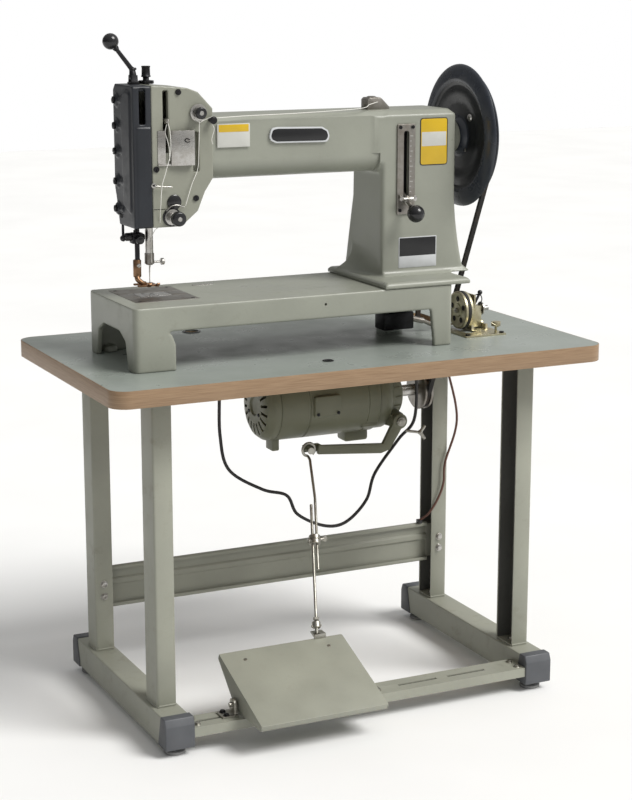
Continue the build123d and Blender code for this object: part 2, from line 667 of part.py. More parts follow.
# ---- thread path on the head face ----------------------------------------------
def make_tensions():
    y0 = arm_y[0]
    post = cyl_y(y0 - 20, y0 + 8, -306, 1374, 3)
    discs = cyl_y(y0 - 10, y0 - 2, -306, 1374, 19) - cyl_y(y0 - 11, y0 + 1, -306, 1374, 3)
    parts["upper_tension_post"] = post
    parts["upper_tension_discs"] = discs
    knob = cyl_y(y0 - 24, y0 - 11, -306, 1374, 13) - cyl_y(y0 - 25, y0, -306, 1374, 3 + run_gap)
    parts["upper_tension_knob"] = knob
    x, z = -370, 1152
    parts["lower_tension_discs"] = cyl_y(y0 - 20, y0 - 2, x, z, 17) - cyl_y(y0 - 21, y0 + 1, x, z, 3)
    parts["lower_tension_post"] = cyl_y(y0 - 46, y0 + 8, x, z, 3)
    parts["lower_tension_knob"] = cyl_y(y0 - 50, y0 - 32, x, z, 16) - cyl_y(y0 - 51, y0, x, z, 3 + run_gap)
    head_hole = cyl_y(y0 - 1, y0 + 8, -306, 1374, 3)
    parts["head_casting"] = parts["head_casting"] - head_hole - cyl_y(y0 - 1, y0 + 8, x, z, 3)


def make_thread_guides():
    y0 = arm_y[0]
    stud = cyl_y(y0 - 16, y0, -277, 1358, 5) + cyl_y(y0 - 20, y0 - 16, -277, 1358, 8)
    pin = cyl_y(y0 - 12, y0, -410, 1222, 3) + rod((-412, y0 - 10, 1222), (-372, y0 - 10, 1218), 1.6)
    parts["thread_guides"] = group([stud, pin])
    shield = block((-399, -320), (y0 - 4, y0), (1263, 1337))
    shield = shield + block((take_up_x + 8, -324), (y0 - 10, y0 - 4), (1268, 1332))
    shield = shield - block((take_up_x - 6, take_up_x + 6), (y0 - 11, y0 + 1), (1288, 1338))
    parts["take_up_guard"] = shield
    screws = []
    for x, z in ((-351, 1419), (-404, 1256), (-313, 1190)):
        screws.append(cyl_y(y0 - 3, y0, x, z, 6))
    parts["head_screws"] = group(screws)


# ---- column fittings --------------------------------------------------------------
def make_stitch_control():
    y0 = arm_y[0]
    plate = block((181, 227), (y0 - 4, y0), (1128, 1333))
    plate = plate - block((lever_slot_x - 7, lever_slot_x + 7), (y0 - 5, y0 + 1), (1156, 1318))
    parts["stitch_plate"] = plate
    py, pz = lever_pivot
    tip = (lever_slot_x, -140, 1134)
    lever = rod((lever_slot_x, py, pz), tip, 5) + cyl_x(lever_slot_x - 7, lever_slot_x + 7, py, pz, 12)
    lever = lever - cyl_x(lever_slot_x - 9, lever_slot_x + 9, py, pz, 6 + run_gap) - Pos(*tip) * Sphere(19)
    parts["stitch_lever"] = lever
    parts["stitch_lever_ball"] = Pos(*tip) * Sphere(20) - lever
    parts["stitch_pivot_pin"] = cyl_x(column_x[0] + 16, column_x[1] - 16, py, pz, 6)
    parts["stitch_plate_screws"] = group([
        cyl_y(y0 - 7, y0 - 4, x, z, 4) for x in (188, 220) for z in (1327, 1138)
    ])


def make_labels():
    y0 = arm_y[0]
    parts["label_plates"] = group([
        block((240, 312), (y0 - 0.8, y0), (1237, 1344)),
        block((188, 286), (y0 - 0.8, y0), (1003, 1074)),
        block((-258, -180), (y0 - 0.8, y0), (1296, 1346)),
        block((-137, 10), (y0 - 0.8, y0), (1300, 1336)),
    ])


def make_oiler():
    parts["oiler_cap"] = cyl_z(1364, 1386, 176, machine_y - 10, 17)


# ---- handwheel --------------------------------------------------------------------
def make_handwheel():
    """Dished wheel: broad rounded rim in front, belt groove and a smaller flange behind it."""
    half = belt_w / 2 + 0.2
    root = belt_wheel_r - belt_t / 2 - 0.3
    front = belt_x - half
    back = belt_x + half
    outline = [
        (355, shaft_r), (355, 34), (belt_x - 27, 38), (belt_x - 12, 44), (belt_x - 12, 120),
        (belt_x - 18, 136), (belt_x - 19, wheel_r - 14), (belt_x - 17, wheel_r - 5),
        (belt_x - 13, wheel_r), (front - 4, wheel_r), (front, wheel_r - 3), (front, root),
        (back, root), (back, belt_wheel_r + 7), (back + 5, belt_wheel_r + 5), (back + 5, 126),
        (belt_x - 6, 118), (belt_x - 6, 44), (back + 5, 38), (back + 5, shaft_r),
    ]
    parts["handwheel"] = turned_x(outline, *wheel_c)
    crank = cyl_x(needle_x + 22, needle_x + 34, *wheel_c, 30)
    parts["main_shaft"] = cyl_x(needle_x + 22, back + 5, *wheel_c, shaft_r) + crank
    bolts = [
        cyl_x(belt_x - 18, belt_x - 12, machine_y - 75, shaft_z + 20, 6),
        cyl_x(belt_x - 17, belt_x - 12, machine_y + 40, shaft_z - 60, 6),
    ]
    parts["handwheel_screws"] = group(bolts)


# ---- bobbin winder -----------------------------------------------------------------
def make_winder():
    top = table_top_z
    wy, wz = -34, 882
    base = block((350, 458), (-128, -20), (top, top + 4)) - block((373, 401), (-90, -19), (top - 1, top + 5))
    ears = block((402, 408), (-62, -12), (top + 4, top + 16)) + cyl_x(402, 408, -34, top + 14, 9)
    ears2 = block((440, 446), (-62, -12), (top + 4, top + 16)) + cyl_x(440, 446, -34, top + 14, 9)
    base = base + ears + ears2
    pivot = (-34, top + 14)
    pin = cyl_x(401, 450, *pivot, 4)
    parts["winder_base"] = base - cyl_x(396, 452, *pivot, 4)
    parts["winder_pin"] = pin
    frame = block((409, 439), (-44, -24), (top + 8, wz + 8)) + block((409, 413), (-60, 14), (wz - 2, wz + 38))
    frame = frame - cyl_x(400, 450, *pivot, 4 + run_gap) - cyl_x(400, 450, wy, wz, 6 + run_gap)
    for y in (-44, 0):
        frame = frame - cyl_x(408, 414, y, wz + 26, 4)
    parts["winder_frame"] = frame
    outline = [
        (377, 6), (377, 43), (379, 45), (397, 45), (399, 43),
        (399, 40), (381, 39), (381, 16), (400, 14), (400, 6),
    ]
    parts["winder_wheel"] = turned_x(outline, wy, wz)
    parts["winder_spindle"] = cyl_x(374, 462, wy, wz, 6) + cyl_x(441, 445, wy, wz, 16)
    tension = cyl_z(top + 4, top + 20, 440, -110, 3) + cyl_z(top + 20, top + 30, 440, -110, 11)
    parts["winder_tension"] = tension


# ---- cables and switch ---------------------------------------------------------------
def cable(points, r):
    path = Spline(*points)
    ring = Plane(origin=path @ 0, z_dir=path % 0) * Circle(r)
    return sweep(ring, path)


def make_cables():
    """Motor cable hanging in a loop, and a lighter one down to the rear brace."""
    top = table_top_z - table_thick
    loop = [
        (-168, 139, top - 92), (-169, 135, 593), (-151, 125, 510), (-71, 112, 456), (-8, 107, 434),
        (20, 104, 384), (90, 102, 347), (150, 103, 348), (208, 106, 396), (236, 113, 461),
        (310, 130, 535), (350, 122, 585), (350, 112, 700), (350, 110, top - 4),
    ]
    drop = [
        (421, 150, top - 4), (464, 158, 690), (496, 163, 560), (465, 165, 451), (461, 165, 398),
        (446, 165, 358), (424, 174, 318), (408, 192, 297),
    ]
    box = block((-205, -135), (105, 165), (top - 90, top))
    parts["switch_box"] = box
    parts["motor_cable"] = group([cable(loop, 4), cable(drop, 3)])


make_table()
make_stand()
make_rear_brace()
make_treadle_rail()
make_treadle()
make_pitman()
make_motor()
make_motor_pulley()
make_clutch_lever()
make_belt()
make_bed()
make_bed_top_parts()
make_hook_shaft()
make_arm()
make_head()
make_cover()
make_needle_bar()
make_presser()
make_presser_lifter()
make_presser_screw()
make_take_up()
make_tensions()
make_thread_guides()
make_stitch_control()
make_labels()
make_oiler()
make_handwheel()
make_winder()
make_cables()

# Small pieces fixed to one another share a node, each still its own solid.
shared_nodes = {
    "stand_columns": ["column_front_left", "column_front_right", "column_back_left", "column_back_right"],
    "foot_bars": ["foot_bar_left", "foot_bar_right"],
    "table_bearers": ["table_bearer_left", "table_bearer_right"],
    "pitman_clamp": ["pitman_clamp", "pitman_clamp_screw"],
    "motor_body": ["motor_body", "motor_mount_plate"],
    "pivot_pins": ["take_up_pin", "stitch_pivot_pin", "clutch_lever_pin", "winder_pin"],
    "machine_screws": ["cover_screws", "head_screws", "stitch_plate_screws", "brace_bolts"],
    "needle_bar": ["needle_bar", "needle_screw"],
    "presser_guide_block": ["presser_guide_block", "guide_block_screws"],
    "lifter_post": ["lifter_post", "adjuster_nut"],
    "tension_discs": [
        "upper_tension_post", "upper_tension_discs", "lower_tension_post", "lower_tension_discs",
    ],
    "thread_guides": ["thread_guides", "take_up_guard"],
    "winder_base": ["winder_base", "winder_tension"],
    "winder_wheel": ["winder_wheel", "winder_spindle"],
}
for node, names in shared_nodes.items():
    pieces = [parts.pop(name) for name in names]
    parts[node] = group(pieces)

os.makedirs("parts", exist_ok=True)
for name, shape in parts.items():
    export_step(Pos(0, -origin_y, 0) * shape, "parts/" + name + ".step")
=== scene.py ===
import json
import math

import bmesh
import bpy
from mathutils import Matrix, Vector


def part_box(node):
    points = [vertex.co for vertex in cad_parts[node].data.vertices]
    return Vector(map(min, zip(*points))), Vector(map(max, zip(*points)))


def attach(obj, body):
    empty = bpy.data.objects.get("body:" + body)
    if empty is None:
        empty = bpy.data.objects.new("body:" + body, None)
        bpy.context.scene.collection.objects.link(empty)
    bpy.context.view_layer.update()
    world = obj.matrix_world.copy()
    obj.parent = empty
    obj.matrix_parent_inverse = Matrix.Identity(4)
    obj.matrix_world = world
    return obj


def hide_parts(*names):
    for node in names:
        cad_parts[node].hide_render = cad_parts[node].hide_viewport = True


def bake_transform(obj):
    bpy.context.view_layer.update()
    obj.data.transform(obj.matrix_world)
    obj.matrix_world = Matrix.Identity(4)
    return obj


# The look of a heavy flat-bed leather sewing machine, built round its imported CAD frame.
# Shapes are given in millimetres, +X to the handwheel, -Y to the operator, +Z up from the floor,
# with Y measured from the table's centre line (DATUM in the shared frame).

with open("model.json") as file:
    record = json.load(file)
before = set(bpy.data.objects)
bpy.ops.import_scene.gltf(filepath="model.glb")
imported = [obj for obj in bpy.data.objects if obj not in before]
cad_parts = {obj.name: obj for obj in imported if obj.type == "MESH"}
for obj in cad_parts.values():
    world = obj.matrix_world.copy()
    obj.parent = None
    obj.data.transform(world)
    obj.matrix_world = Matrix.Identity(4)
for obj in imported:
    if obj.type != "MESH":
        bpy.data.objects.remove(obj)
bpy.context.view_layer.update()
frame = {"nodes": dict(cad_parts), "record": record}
MM = 0.001
table_low, table_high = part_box("table_edging")
DATUM = Vector(((table_low.x + table_high.x) / 2, (table_low.y + table_high.y) / 2, 0))
RECORD = frame["record"]
BODY_OF = {node: body for body, nodes in RECORD["behaviour"]["bodies"].items() for node in nodes}
SLOT_OF = {part["node"]: part["material_slot"] for part in RECORD["subparts"]}


class Extent:
    """A CAD node's box in millimetres from the datum: x0, x1, y0, y1, z0, z1 and its centre."""

    def __init__(self, node):
        low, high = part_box(node)
        self.x0, self.y0, self.z0 = (low - DATUM) / MM
        self.x1, self.y1, self.z1 = (high - DATUM) / MM
        self.cx = (self.x0 + self.x1) / 2
        self.cy = (self.y0 + self.y1) / 2
        self.cz = (self.z0 + self.z1) / 2


# ---- outlines -------------------------------------------------------------------
CORNER_STEPS = 5            # straight steps in a rounded corner


def arc(cx, cy, r, start, end, n=8):
    """Points along an arc, angles in degrees."""
    turns = [math.radians(start + (end - start) * k / n) for k in range(n + 1)]
    return [(cx + r * math.cos(a), cy + r * math.sin(a)) for a in turns]


def rounded(points, radius):
    """Closed outline with its corners turned to arcs; radius is one number or one per corner."""
    radii = radius if isinstance(radius, (list, tuple)) else [radius] * len(points)
    out = []
    for k, r in enumerate(radii):
        here = Vector(points[k])
        before = Vector(points[k - 1]) - here
        after = Vector(points[(k + 1) % len(points)]) - here
        angle = before.angle(after, math.pi)
        if r <= 0 or angle > math.radians(176):
            out.append(tuple(here))
            continue
        reach = min(r / math.tan(angle / 2), before.length * 0.48, after.length * 0.48)
        a = here + before.normalized() * reach
        b = here + after.normalized() * reach
        for i in range(CORNER_STEPS + 1):
            t = i / CORNER_STEPS
            out.append(tuple(a * (1 - t) ** 2 + here * 2 * t * (1 - t) + b * t ** 2))
    return out


def rect(x0, x1, y0, y1, r=0.0):
    """Rectangle outline, with round corners when r is given."""
    corners = [(x0, y0), (x1, y0), (x1, y1), (x0, y1)]
    return rounded(corners, r) if r else corners


def folded(path, thick, bend):
    """Outline of a folded sheet that follows an open path, with round bends."""
    points = [Vector(p) for p in path]
    sides = ([], [])
    radii = ([], [])
    for k, p in enumerate(points):
        ways = []
        if k > 0:
            ways.append((p - points[k - 1]).normalized())
        if k < len(points) - 1:
            ways.append((points[k + 1] - p).normalized())
        normals = [Vector((-w.y, w.x)) for w in ways]
        mitre = sum(normals, Vector((0, 0))).normalized()
        mitre = mitre / max(0.3, mitre.dot(normals[0]))
        turn = ways[0].x * ways[-1].y - ways[0].y * ways[-1].x
        inner_left = turn > 0
        for s, sign in ((0, 1), (1, -1)):
            sides[s].append(tuple(p + mitre * sign * thick / 2))
            inner = inner_left == (s == 0)
            radii[s].append(0 if len(ways) == 1 else (bend if inner else bend + thick))
    return rounded(sides[0] + sides[1][::-1], radii[0] + radii[1][::-1])


def smooth_path(points, steps=8):
    """Catmull-Rom curve through the points."""
    pts = [Vector(p) for p in points]
    pts = [pts[0] * 2 - pts[1]] + pts + [pts[-1] * 2 - pts[-2]]
    out = []
    for k in range(1, len(pts) - 2):
        a, b, c, d = pts[k - 1 : k + 3]
        for i in range(steps):
            t = i / steps
            out.append(
                0.5 * (2 * b + (c - a) * t + (2 * a - 5 * b + 4 * c - d) * t ** 2
                       + (3 * b - a - 3 * c + d) * t ** 3)
            )
    out.append(pts[-2])
    return out


# ---- mesh builder ---------------------------------------------------------------
SHARP_EDGE = 40             # degrees between faces that leave a crisp edge
BEVEL_EDGE = 32             # degrees between faces that get a bevel
PLANES = {  # (first axis, second axis, thickness axis) of an outline
    "xy": (Vector((1, 0, 0)), Vector((0, 1, 0)), Vector((0, 0, 1))),
    "xz": (Vector((1, 0, 0)), Vector((0, 0, 1)), Vector((0, 1, 0))),
    "yz": (Vector((0, 1, 0)), Vector((0, 0, 1)), Vector((1, 0, 0))),
}


def along(p, q):
    """Matrix that takes +Z onto the line from p to q."""
    way = Vector(q) - Vector(p)
    return Matrix.Translation(Vector(p)) @ way.to_track_quat("Z", "Y").to_matrix().to_4x4()


def shade_edges(bm):
    """Smooth faces, with edges of SHARP_EDGE degrees and more left crisp."""
    for face in bm.faces:
        face.smooth = True
    for edge in bm.edges:
        edge.smooth = len(edge.link_faces) != 2 or edge.calc_face_angle(0) < math.radians(SHARP_EDGE)


class Piece:
    """One visible part, put together from rounded solids and then hung on a CAD body."""

    def __init__(self, name, *materials):
        self.name = name
        self.materials = materials
        self.bm = bmesh.new()

    def take(self, part, mat=0, bevel=0.0, segments=2, turn=None):
        """Bevels, turns and adds a finished solid."""
        if bevel:
            bmesh.ops.recalc_face_normals(part, faces=part.faces)
            sharp = [
                e for e in part.edges
                if len(e.link_faces) == 2 and e.calc_face_angle(0) > math.radians(BEVEL_EDGE)
            ]
            bmesh.ops.bevel(
                part, geom=sharp, offset=bevel, segments=segments, profile=0.5,
                affect="EDGES", clamp_overlap=True,
            )
        if turn is not None:
            part.transform(turn)
        bmesh.ops.recalc_face_normals(part, faces=part.faces)
        for face in part.faces:
            face.material_index = mat
        mesh = bpy.data.meshes.new("part")
        part.to_mesh(mesh)
        part.free()
        self.bm.from_mesh(mesh)
        bpy.data.meshes.remove(mesh)
        return self

    def prism(self, plane, points, a, b, mat=0, bevel=0.0, turn=None, segments=2):
        """Outline on a plane given a thickness from a to b."""
        u, v, w = PLANES[plane]
        part = bmesh.new()
        rings = [[part.verts.new(u * p[0] + v * p[1] + w * h) for p in points] for h in (a, b)]
        part.faces.new(rings[0])
        part.faces.new(rings[1][::-1])
        n = len(points)
        for k in range(n):
            m = (k + 1) % n
            part.faces.new((rings[0][k], rings[0][m], rings[1][m], rings[1][k]))
        return self.take(part, mat, bevel, segments, turn)

    def box(self, x, y, z, mat=0, bevel=1.0, turn=None, segments=2):
        """Block between two values on each axis."""
        corners = [(x[0], y[0]), (x[1], y[0]), (x[1], y[1]), (x[0], y[1])]
        return self.prism("xy", corners, z[0], z[1], mat, bevel, turn, segments)

    def lathe(self, p, q, profile, mat=0, sides=48, closed=False, wave=None):
        """Turns (distance along p to q, radius) points about that line; wave(turn, r) may reshape."""
        part = bmesh.new()
        rings = []
        for h, r in profile:
            if r < 1e-6:
                rings.append([part.verts.new((0, 0, h))])
                continue
            ring = []
            for k in range(sides):
                a = 2 * math.pi * k / sides
                rr = wave(a, r) if wave else r
                ring.append(part.verts.new((rr * math.cos(a), rr * math.sin(a), h)))
            rings.append(ring)
        pairs = list(zip(rings, rings[1:]))
        if closed:
            pairs.append((rings[-1], rings[0]))
        for low, high in pairs:
            for k in range(sides):
                m = (k + 1) % sides
                face = [low[k % len(low)], low[m % len(low)], high[m % len(high)], high[k % len(high)]]
                face = list(dict.fromkeys(face))
                if len(face) > 2:
                    part.faces.new(face)
        return self.take(part, mat, turn=along(p, q))

    def rod(self, p, q, r, r2=None, mat=0, sides=24):
        """Round bar with small edge breaks; r2 is its far radius."""
        r2 = r if r2 is None else r2
        length = (Vector(q) - Vector(p)).length
        e = min(0.6, r * 0.4, r2 * 0.4, length * 0.3)
        profile = [(0, 0), (0, r - e), (e, r), (length - e, r2), (length, r2 - e), (length, 0)]
        return self.lathe(p, q, profile, mat, sides)

    def ball(self, c, r, mat=0, sides=32):
        """Sphere about c."""
        n = sides // 2
        turns = [math.pi * k / n for k in range(n + 1)]
        profile = [(-r * math.cos(a), r * math.sin(a)) for a in turns]
        profile[0] = (profile[0][0], 0)
        profile[-1] = (profile[-1][0], 0)
        return self.lathe(c, Vector(c) + Vector((0, 0, 1)), profile, mat, sides)

    def tube(self, path, r, mat=0, sides=10, taper=None):
        """Round section swept along a path of points."""
        pts = [Vector(p) for p in path]
        part = bmesh.new()
        way = (pts[1] - pts[0]).normalized()
        up = way.orthogonal().normalized()
        rings = []
        for k, p in enumerate(pts):
            ahead = pts[min(k + 1, len(pts) - 1)] - pts[max(k - 1, 0)]
            up = (up - ahead.normalized() * up.dot(ahead.normalized())).normalized()
            side = ahead.normalized().cross(up)
            rr = r if taper is None else r * taper(k / (len(pts) - 1))
            ring = []
            for i in range(sides):
                a = 2 * math.pi * i / sides
                ring.append(part.verts.new(p + (up * math.cos(a) + side * math.sin(a)) * rr))
            rings.append(ring)
        for low, high in zip(rings, rings[1:]):
            for i in range(sides):
                m = (i + 1) % sides
                part.faces.new((low[i], low[m], high[m], high[i]))
        part.faces.new(rings[0][::-1])
        part.faces.new(rings[-1])
        return self.take(part, mat)

    def wire(self, points, r, mat=0, sides=10, steps=8):
        """Round wire on a smooth curve through a few points."""
        return self.tube(smooth_path(points, steps), r, mat, sides)

    def ring(self, c, axis, major, minor):
        """Torus about an axis through c."""
        turns = [2 * math.pi * k / 12 for k in range(12)]
        profile = [(minor * math.sin(a), major + minor * math.cos(a)) for a in turns]
        return self.lathe(c, Vector(c) + Vector(axis), profile, sides=40, closed=True)

    def screw(self, c, axis, r, height, mat=0, slot="line", turn=20):
        """Screw head standing on c: 'line' has a driver slot, 'hex' is a bolt, 'cap' a socket."""
        c, axis = Vector(c), Vector(axis).normalized()
        top = c + axis * height
        if slot == "hex":
            corners = arc(0, 0, r, turn, turn + 300, 5)
            self.prism("xy", corners, 0, height, mat, r * 0.08, along(c, top))
            return self.rod(c, c + axis * height * 0.2, r * 1.25, mat=mat)
        if slot == "cap":
            profile = [(0, 0), (0, r), (height * 0.9, r), (height, r * 0.9), (height, r * 0.5),
                       (height * 0.4, r * 0.45), (height * 0.4, 0)]
            return self.lathe(c, top, profile, mat, 20)
        groove = r * 0.16
        for side in (-1, 1):
            half = [(x, side * y) for x, y in arc(0, 0, r, 0, 180, 14) if y > groove]
            reach = math.sqrt(r * r - groove * groove)
            half = [(reach, side * groove)] + half + [(-reach, side * groove)]
            spin = along(c, top) @ Matrix.Rotation(math.radians(turn), 4, "Z")
            self.prism("xy", half, 0, height, mat, r * 0.1, spin)
        return self.rod(c, c + axis * height * 0.45, r * 0.97, mat=mat)

    def mesh(self):
        """The finished mesh in metres, smooth except at sharp edges."""
        bmesh.ops.scale(self.bm, vec=(MM, MM, MM), verts=self.bm.verts)
        bmesh.ops.translate(self.bm, vec=DATUM, verts=self.bm.verts)
        shade_edges(self.bm)
        mesh = bpy.data.meshes.new(self.name)
        self.bm.to_mesh(mesh)
        self.bm.free()
        return mesh

    def made(self):
        """The piece's object, with its materials."""
        obj = bpy.data.objects.new(self.name, self.mesh())
        bpy.context.scene.collection.objects.link(obj)
        for material in self.materials:
            obj.data.materials.append(material)
        return obj

    def done(self, node, cast=0.0, cutters=(), relax=6):
        """Puts the piece in a CAD node's place and on the node's body.

        cast is a voxel size in mm that melts the solids together and relax the number of
        smoothing steps after that. The cutters are taken out last.
        """
        obj = self.made()
        if cast:
            melt(obj, cast, relax)
        if cutters:
            cut_away(obj, cutters)
        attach(obj, BODY_OF[node])
        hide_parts(node)

    def add(self, body, slot):
        """Adds the piece beside the CAD nodes.

        body is one body's name, or (body, body, start, end), which leaves the piece on no body.
        """
        obj = self.made()
        if isinstance(body, str):
            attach(obj, body)
        else:
            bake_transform(obj)


def baked(obj):
    """Applies an object's modifiers."""
    graph = bpy.context.evaluated_depsgraph_get()
    mesh = bpy.data.meshes.new_from_object(obj.evaluated_get(graph))
    obj.modifiers.clear()
    old = obj.data
    obj.data = mesh
    bpy.data.meshes.remove(old)


def melt(obj, voxel, relax):
    """Runs the solids of an object together into one smooth cast skin."""
    skin = obj.modifiers.new("skin", "REMESH")
    skin.mode = "VOXEL"
    skin.voxel_size = voxel * MM
    skin.use_smooth_shade = True
    soft = obj.modifiers.new("soft", "SMOOTH")
    soft.factor = 0.5
    soft.iterations = relax
    baked(obj)


def cut_away(obj, cutters):
    """Takes the cutter pieces out of an object and leaves the new edges crisp."""
    for cutter in cutters:
        tool = bpy.data.objects.new("cutter", cutter.mesh())
        bpy.context.scene.collection.objects.link(tool)
        cut = obj.modifiers.new("cut", "BOOLEAN")
        cut.operation = "DIFFERENCE"
        cut.solver = "EXACT"
        cut.object = tool
        baked(obj)
        bpy.data.objects.remove(tool)
    sharpen(obj.data)


def sharpen(mesh):
    """Smooth shading except at sharp edges."""
    bm = bmesh.new()
    bm.from_mesh(mesh)
    shade_edges(bm)
    bm.to_mesh(mesh)
    bm.free()


def soften(piece, node, bevel):
    """Adds a copy of a CAD node's shape to a piece with its hard edges rounded."""
    part = bmesh.new()
    part.from_mesh(frame["nodes"][node].data)
    bmesh.ops.remove_doubles(part, verts=part.verts, dist=1e-5)
    bmesh.ops.translate(part, vec=-DATUM, verts=part.verts)
    bmesh.ops.dissolve_limit(part, angle_limit=math.radians(1.5), verts=part.verts, edges=part.edges)
    bmesh.ops.scale(part, vec=(1 / MM,) * 3, verts=part.verts)
    return piece.take(part, bevel=bevel)


# ---- materials ------------------------------------------------------------------
def linear(r, g, b):
    """Linear colour from 0-255 display values."""
    return tuple(((c / 255 + 0.055) / 1.055) ** 2.4 if c > 10 else c / 3295 for c in (r, g, b)) + (1.0,)


def shade(color, factor, lift=0.0):
    """The colour made darker or lighter."""
    return tuple(min(1, c * factor + lift) for c in color[:3]) + (1,)


class Finish:
    """A small node-tree writer for one procedural material."""

    def __init__(self, name):
        self.mat = bpy.data.materials.new(name)
        self.mat.use_nodes = True
        self.tree = self.mat.node_tree
        self.bsdf = self.tree.nodes["Principled BSDF"]
        self.place = self.node("ShaderNodeTexCoord").outputs["Object"]

    def node(self, kind, inputs=None, **settings):
        """New node with its settings and inputs given by name."""
        n = self.tree.nodes.new(kind)
        for key, value in settings.items():
            setattr(n, key, value)
        for key, value in (inputs or {}).items():
            self.put(n.inputs[key], value)
        return n

    def put(self, socket, value):
        """Links a socket, or sets its plain value."""
        if isinstance(value, bpy.types.NodeSocket):
            self.tree.links.new(value, socket)
        else:
            socket.default_value = value

    def noise(self, scale, detail=4.0, rough=0.55, stretch=None):
        """Noise on the object's own coordinates."""
        place = self.place
        if stretch:
            place = self.node("ShaderNodeMapping", {"Vector": place, "Scale": stretch}).outputs["Vector"]
        inputs = {"Vector": place, "Scale": scale, "Detail": detail, "Roughness": rough}
        return self.node("ShaderNodeTexNoise", inputs).outputs["Fac"]

    def remap(self, value, low, high, to_low=0.0, to_high=1.0):
        """The value taken from one range to another and held inside it."""
        inputs = {"Value": value, "From Min": low, "From Max": high, "To Min": to_low, "To Max": to_high}
        return self.node("ShaderNodeMapRange", inputs).outputs["Result"]

    def patches(self, scale, detail, low, high, rough=0.55, stretch=None):
        """Noise stretched so that it goes from 0 at low to 1 at high."""
        return self.remap(self.noise(scale, detail, rough, stretch), low, high)

    def mix(self, fac, a, b):
        """Colour a going over to b as fac goes from 0 to 1."""
        made = self.node("ShaderNodeMix", data_type="RGBA")
        self.put(made.inputs[0], fac)
        self.put(made.inputs[6], a)
        self.put(made.inputs[7], b)
        return made.outputs[2]

    def math(self, operation, a, b):
        """One step of arithmetic on two values."""
        made = self.node("ShaderNodeMath", operation=operation)
        self.put(made.inputs[0], a)
        self.put(made.inputs[1], b)
        return made.outputs[0]

    def times(self, a, b):
        """Product of two values."""
        return self.math("MULTIPLY", a, b)

    def edges(self, radius_mm):
        """1 along convex and concave edges, 0 on flats."""
        soft = self.node("ShaderNodeBevel", {"Radius": radius_mm * MM}, samples=4).outputs["Normal"]
        flat = self.node("ShaderNodeNewGeometry").outputs["Normal"]
        dot = self.node("ShaderNodeVectorMath", operation="DOT_PRODUCT")
        self.put(dot.inputs[0], soft)
        self.put(dot.inputs[1], flat)
        return self.remap(self.math("SUBTRACT", 1.0, dot.outputs["Value"]), 0.02, 0.25)

    def bump(self, height, distance_mm, strength=1.0, under=None):
        """Normal pushed about by a height, on top of an earlier normal when one is given."""
        inputs = {"Height": height, "Distance": distance_mm * MM, "Strength": strength}
        made = self.node("ShaderNodeBump", inputs)
        if under:
            self.put(made.inputs["Normal"], under)
        return made.outputs["Normal"]

    def end(self, color, rough, normal=None, metal=0.0, spec=0.5):
        """Wires up the surface and gives back the material."""
        self.put(self.bsdf.inputs["Base Color"], color)
        self.put(self.bsdf.inputs["Roughness"], rough)
        self.put(self.bsdf.inputs["Metallic"], metal)
        self.put(self.bsdf.inputs["Specular IOR Level"], spec)
        if normal:
            self.put(self.bsdf.inputs["Normal"], normal)
        return self.mat


def paint(name, base, dirt, chip, rough=0.38, grain=0.12, worn=0.5, blotch=0.10):
    """Enamel over metal: uneven tone, orange peel, grime in patches and rubbed edges."""
    f = Finish(name)
    color = f.mix(f.patches(7, 5, 0.3, 0.7), shade(base, 1 - blotch), shade(base, 1 + blotch))
    grime = f.times(f.patches(28, 9, 0.52, 0.78, 0.7), f.patches(4, 2, 0.4, 0.65))
    color = f.mix(f.times(grime, 0.35), color, dirt)
    color = f.mix(f.times(f.patches(420, 2, 0.70, 0.76), 0.30), color, dirt)
    rub = f.times(f.edges(2.2), f.patches(60, 6, 0.42, 0.62, 0.7))
    color = f.mix(f.times(rub, worn), color, chip)
    shine = f.remap(f.noise(14, 4), 0.3, 0.7, rough - 0.07, rough + 0.10)
    shine = f.math("ADD", shine, f.times(grime, 0.15))
    peel = f.bump(f.noise(260, 3), grain)
    return f.end(color, shine, f.bump(f.noise(16, 3), 0.5, 0.4, peel), spec=0.45)


def metal(name, base, dark, rough=0.32):
    """Machined or plated metal: drawn grain, tarnish and brighter edges."""
    f = Finish(name)
    lines = f.noise(60, 4, 0.6, (1, 1, 30))
    stain = f.times(f.patches(45, 7, 0.45, 0.75, 0.65), 0.5)
    color = f.mix(stain, f.mix(f.remap(lines, 0.3, 0.7), shade(base, 0.86), base), dark)
    color = f.mix(f.times(f.edges(1.2), 0.45), color, shade(base, 1.35, 0.03))
    shine = f.remap(lines, 0.3, 0.7, rough - 0.08, rough + 0.10)
    shine = f.math("ADD", shine, f.times(stain, 0.25))
    return f.end(color, shine, f.bump(lines, 0.05), metal=1.0)


def plastic(name, base, rough=0.35, grain=0.05, dust=0.2):
    """Moulded plastic or rubber with scuffs and a little dust."""
    f = Finish(name)
    color = f.mix(f.times(f.patches(18, 6, 0.35, 0.7), dust), base, shade(base, 1.5, 0.02))
    color = f.mix(f.times(f.edges(1.5), 0.4), color, shade(base, 1.9, 0.03))
    shine = f.remap(f.noise(30, 5), 0.3, 0.7, rough - 0.06, rough + 0.12)
    return f.end(color, shine, f.bump(f.noise(500, 2), grain))


def laminate_finish():
    """Pale speckled table laminate with rubbed, dusty patches."""
    f = Finish("laminate")
    color = f.mix(f.patches(5, 5, 0.3, 0.7), linear(134, 141, 134), linear(150, 157, 152))
    color = f.mix(f.times(f.patches(900, 2, 0.35, 0.65), 0.35), color, linear(166, 171, 165))
    scuff = f.patches(30, 9, 0.60, 0.80, 0.75, (1, 0.25, 1))
    color = f.mix(f.times(scuff, 0.25), color, linear(104, 107, 98))
    shine = f.remap(f.noise(12, 4), 0.3, 0.7, 0.24, 0.40)
    return f.end(color, shine, f.bump(f.noise(1200, 2), 0.02))


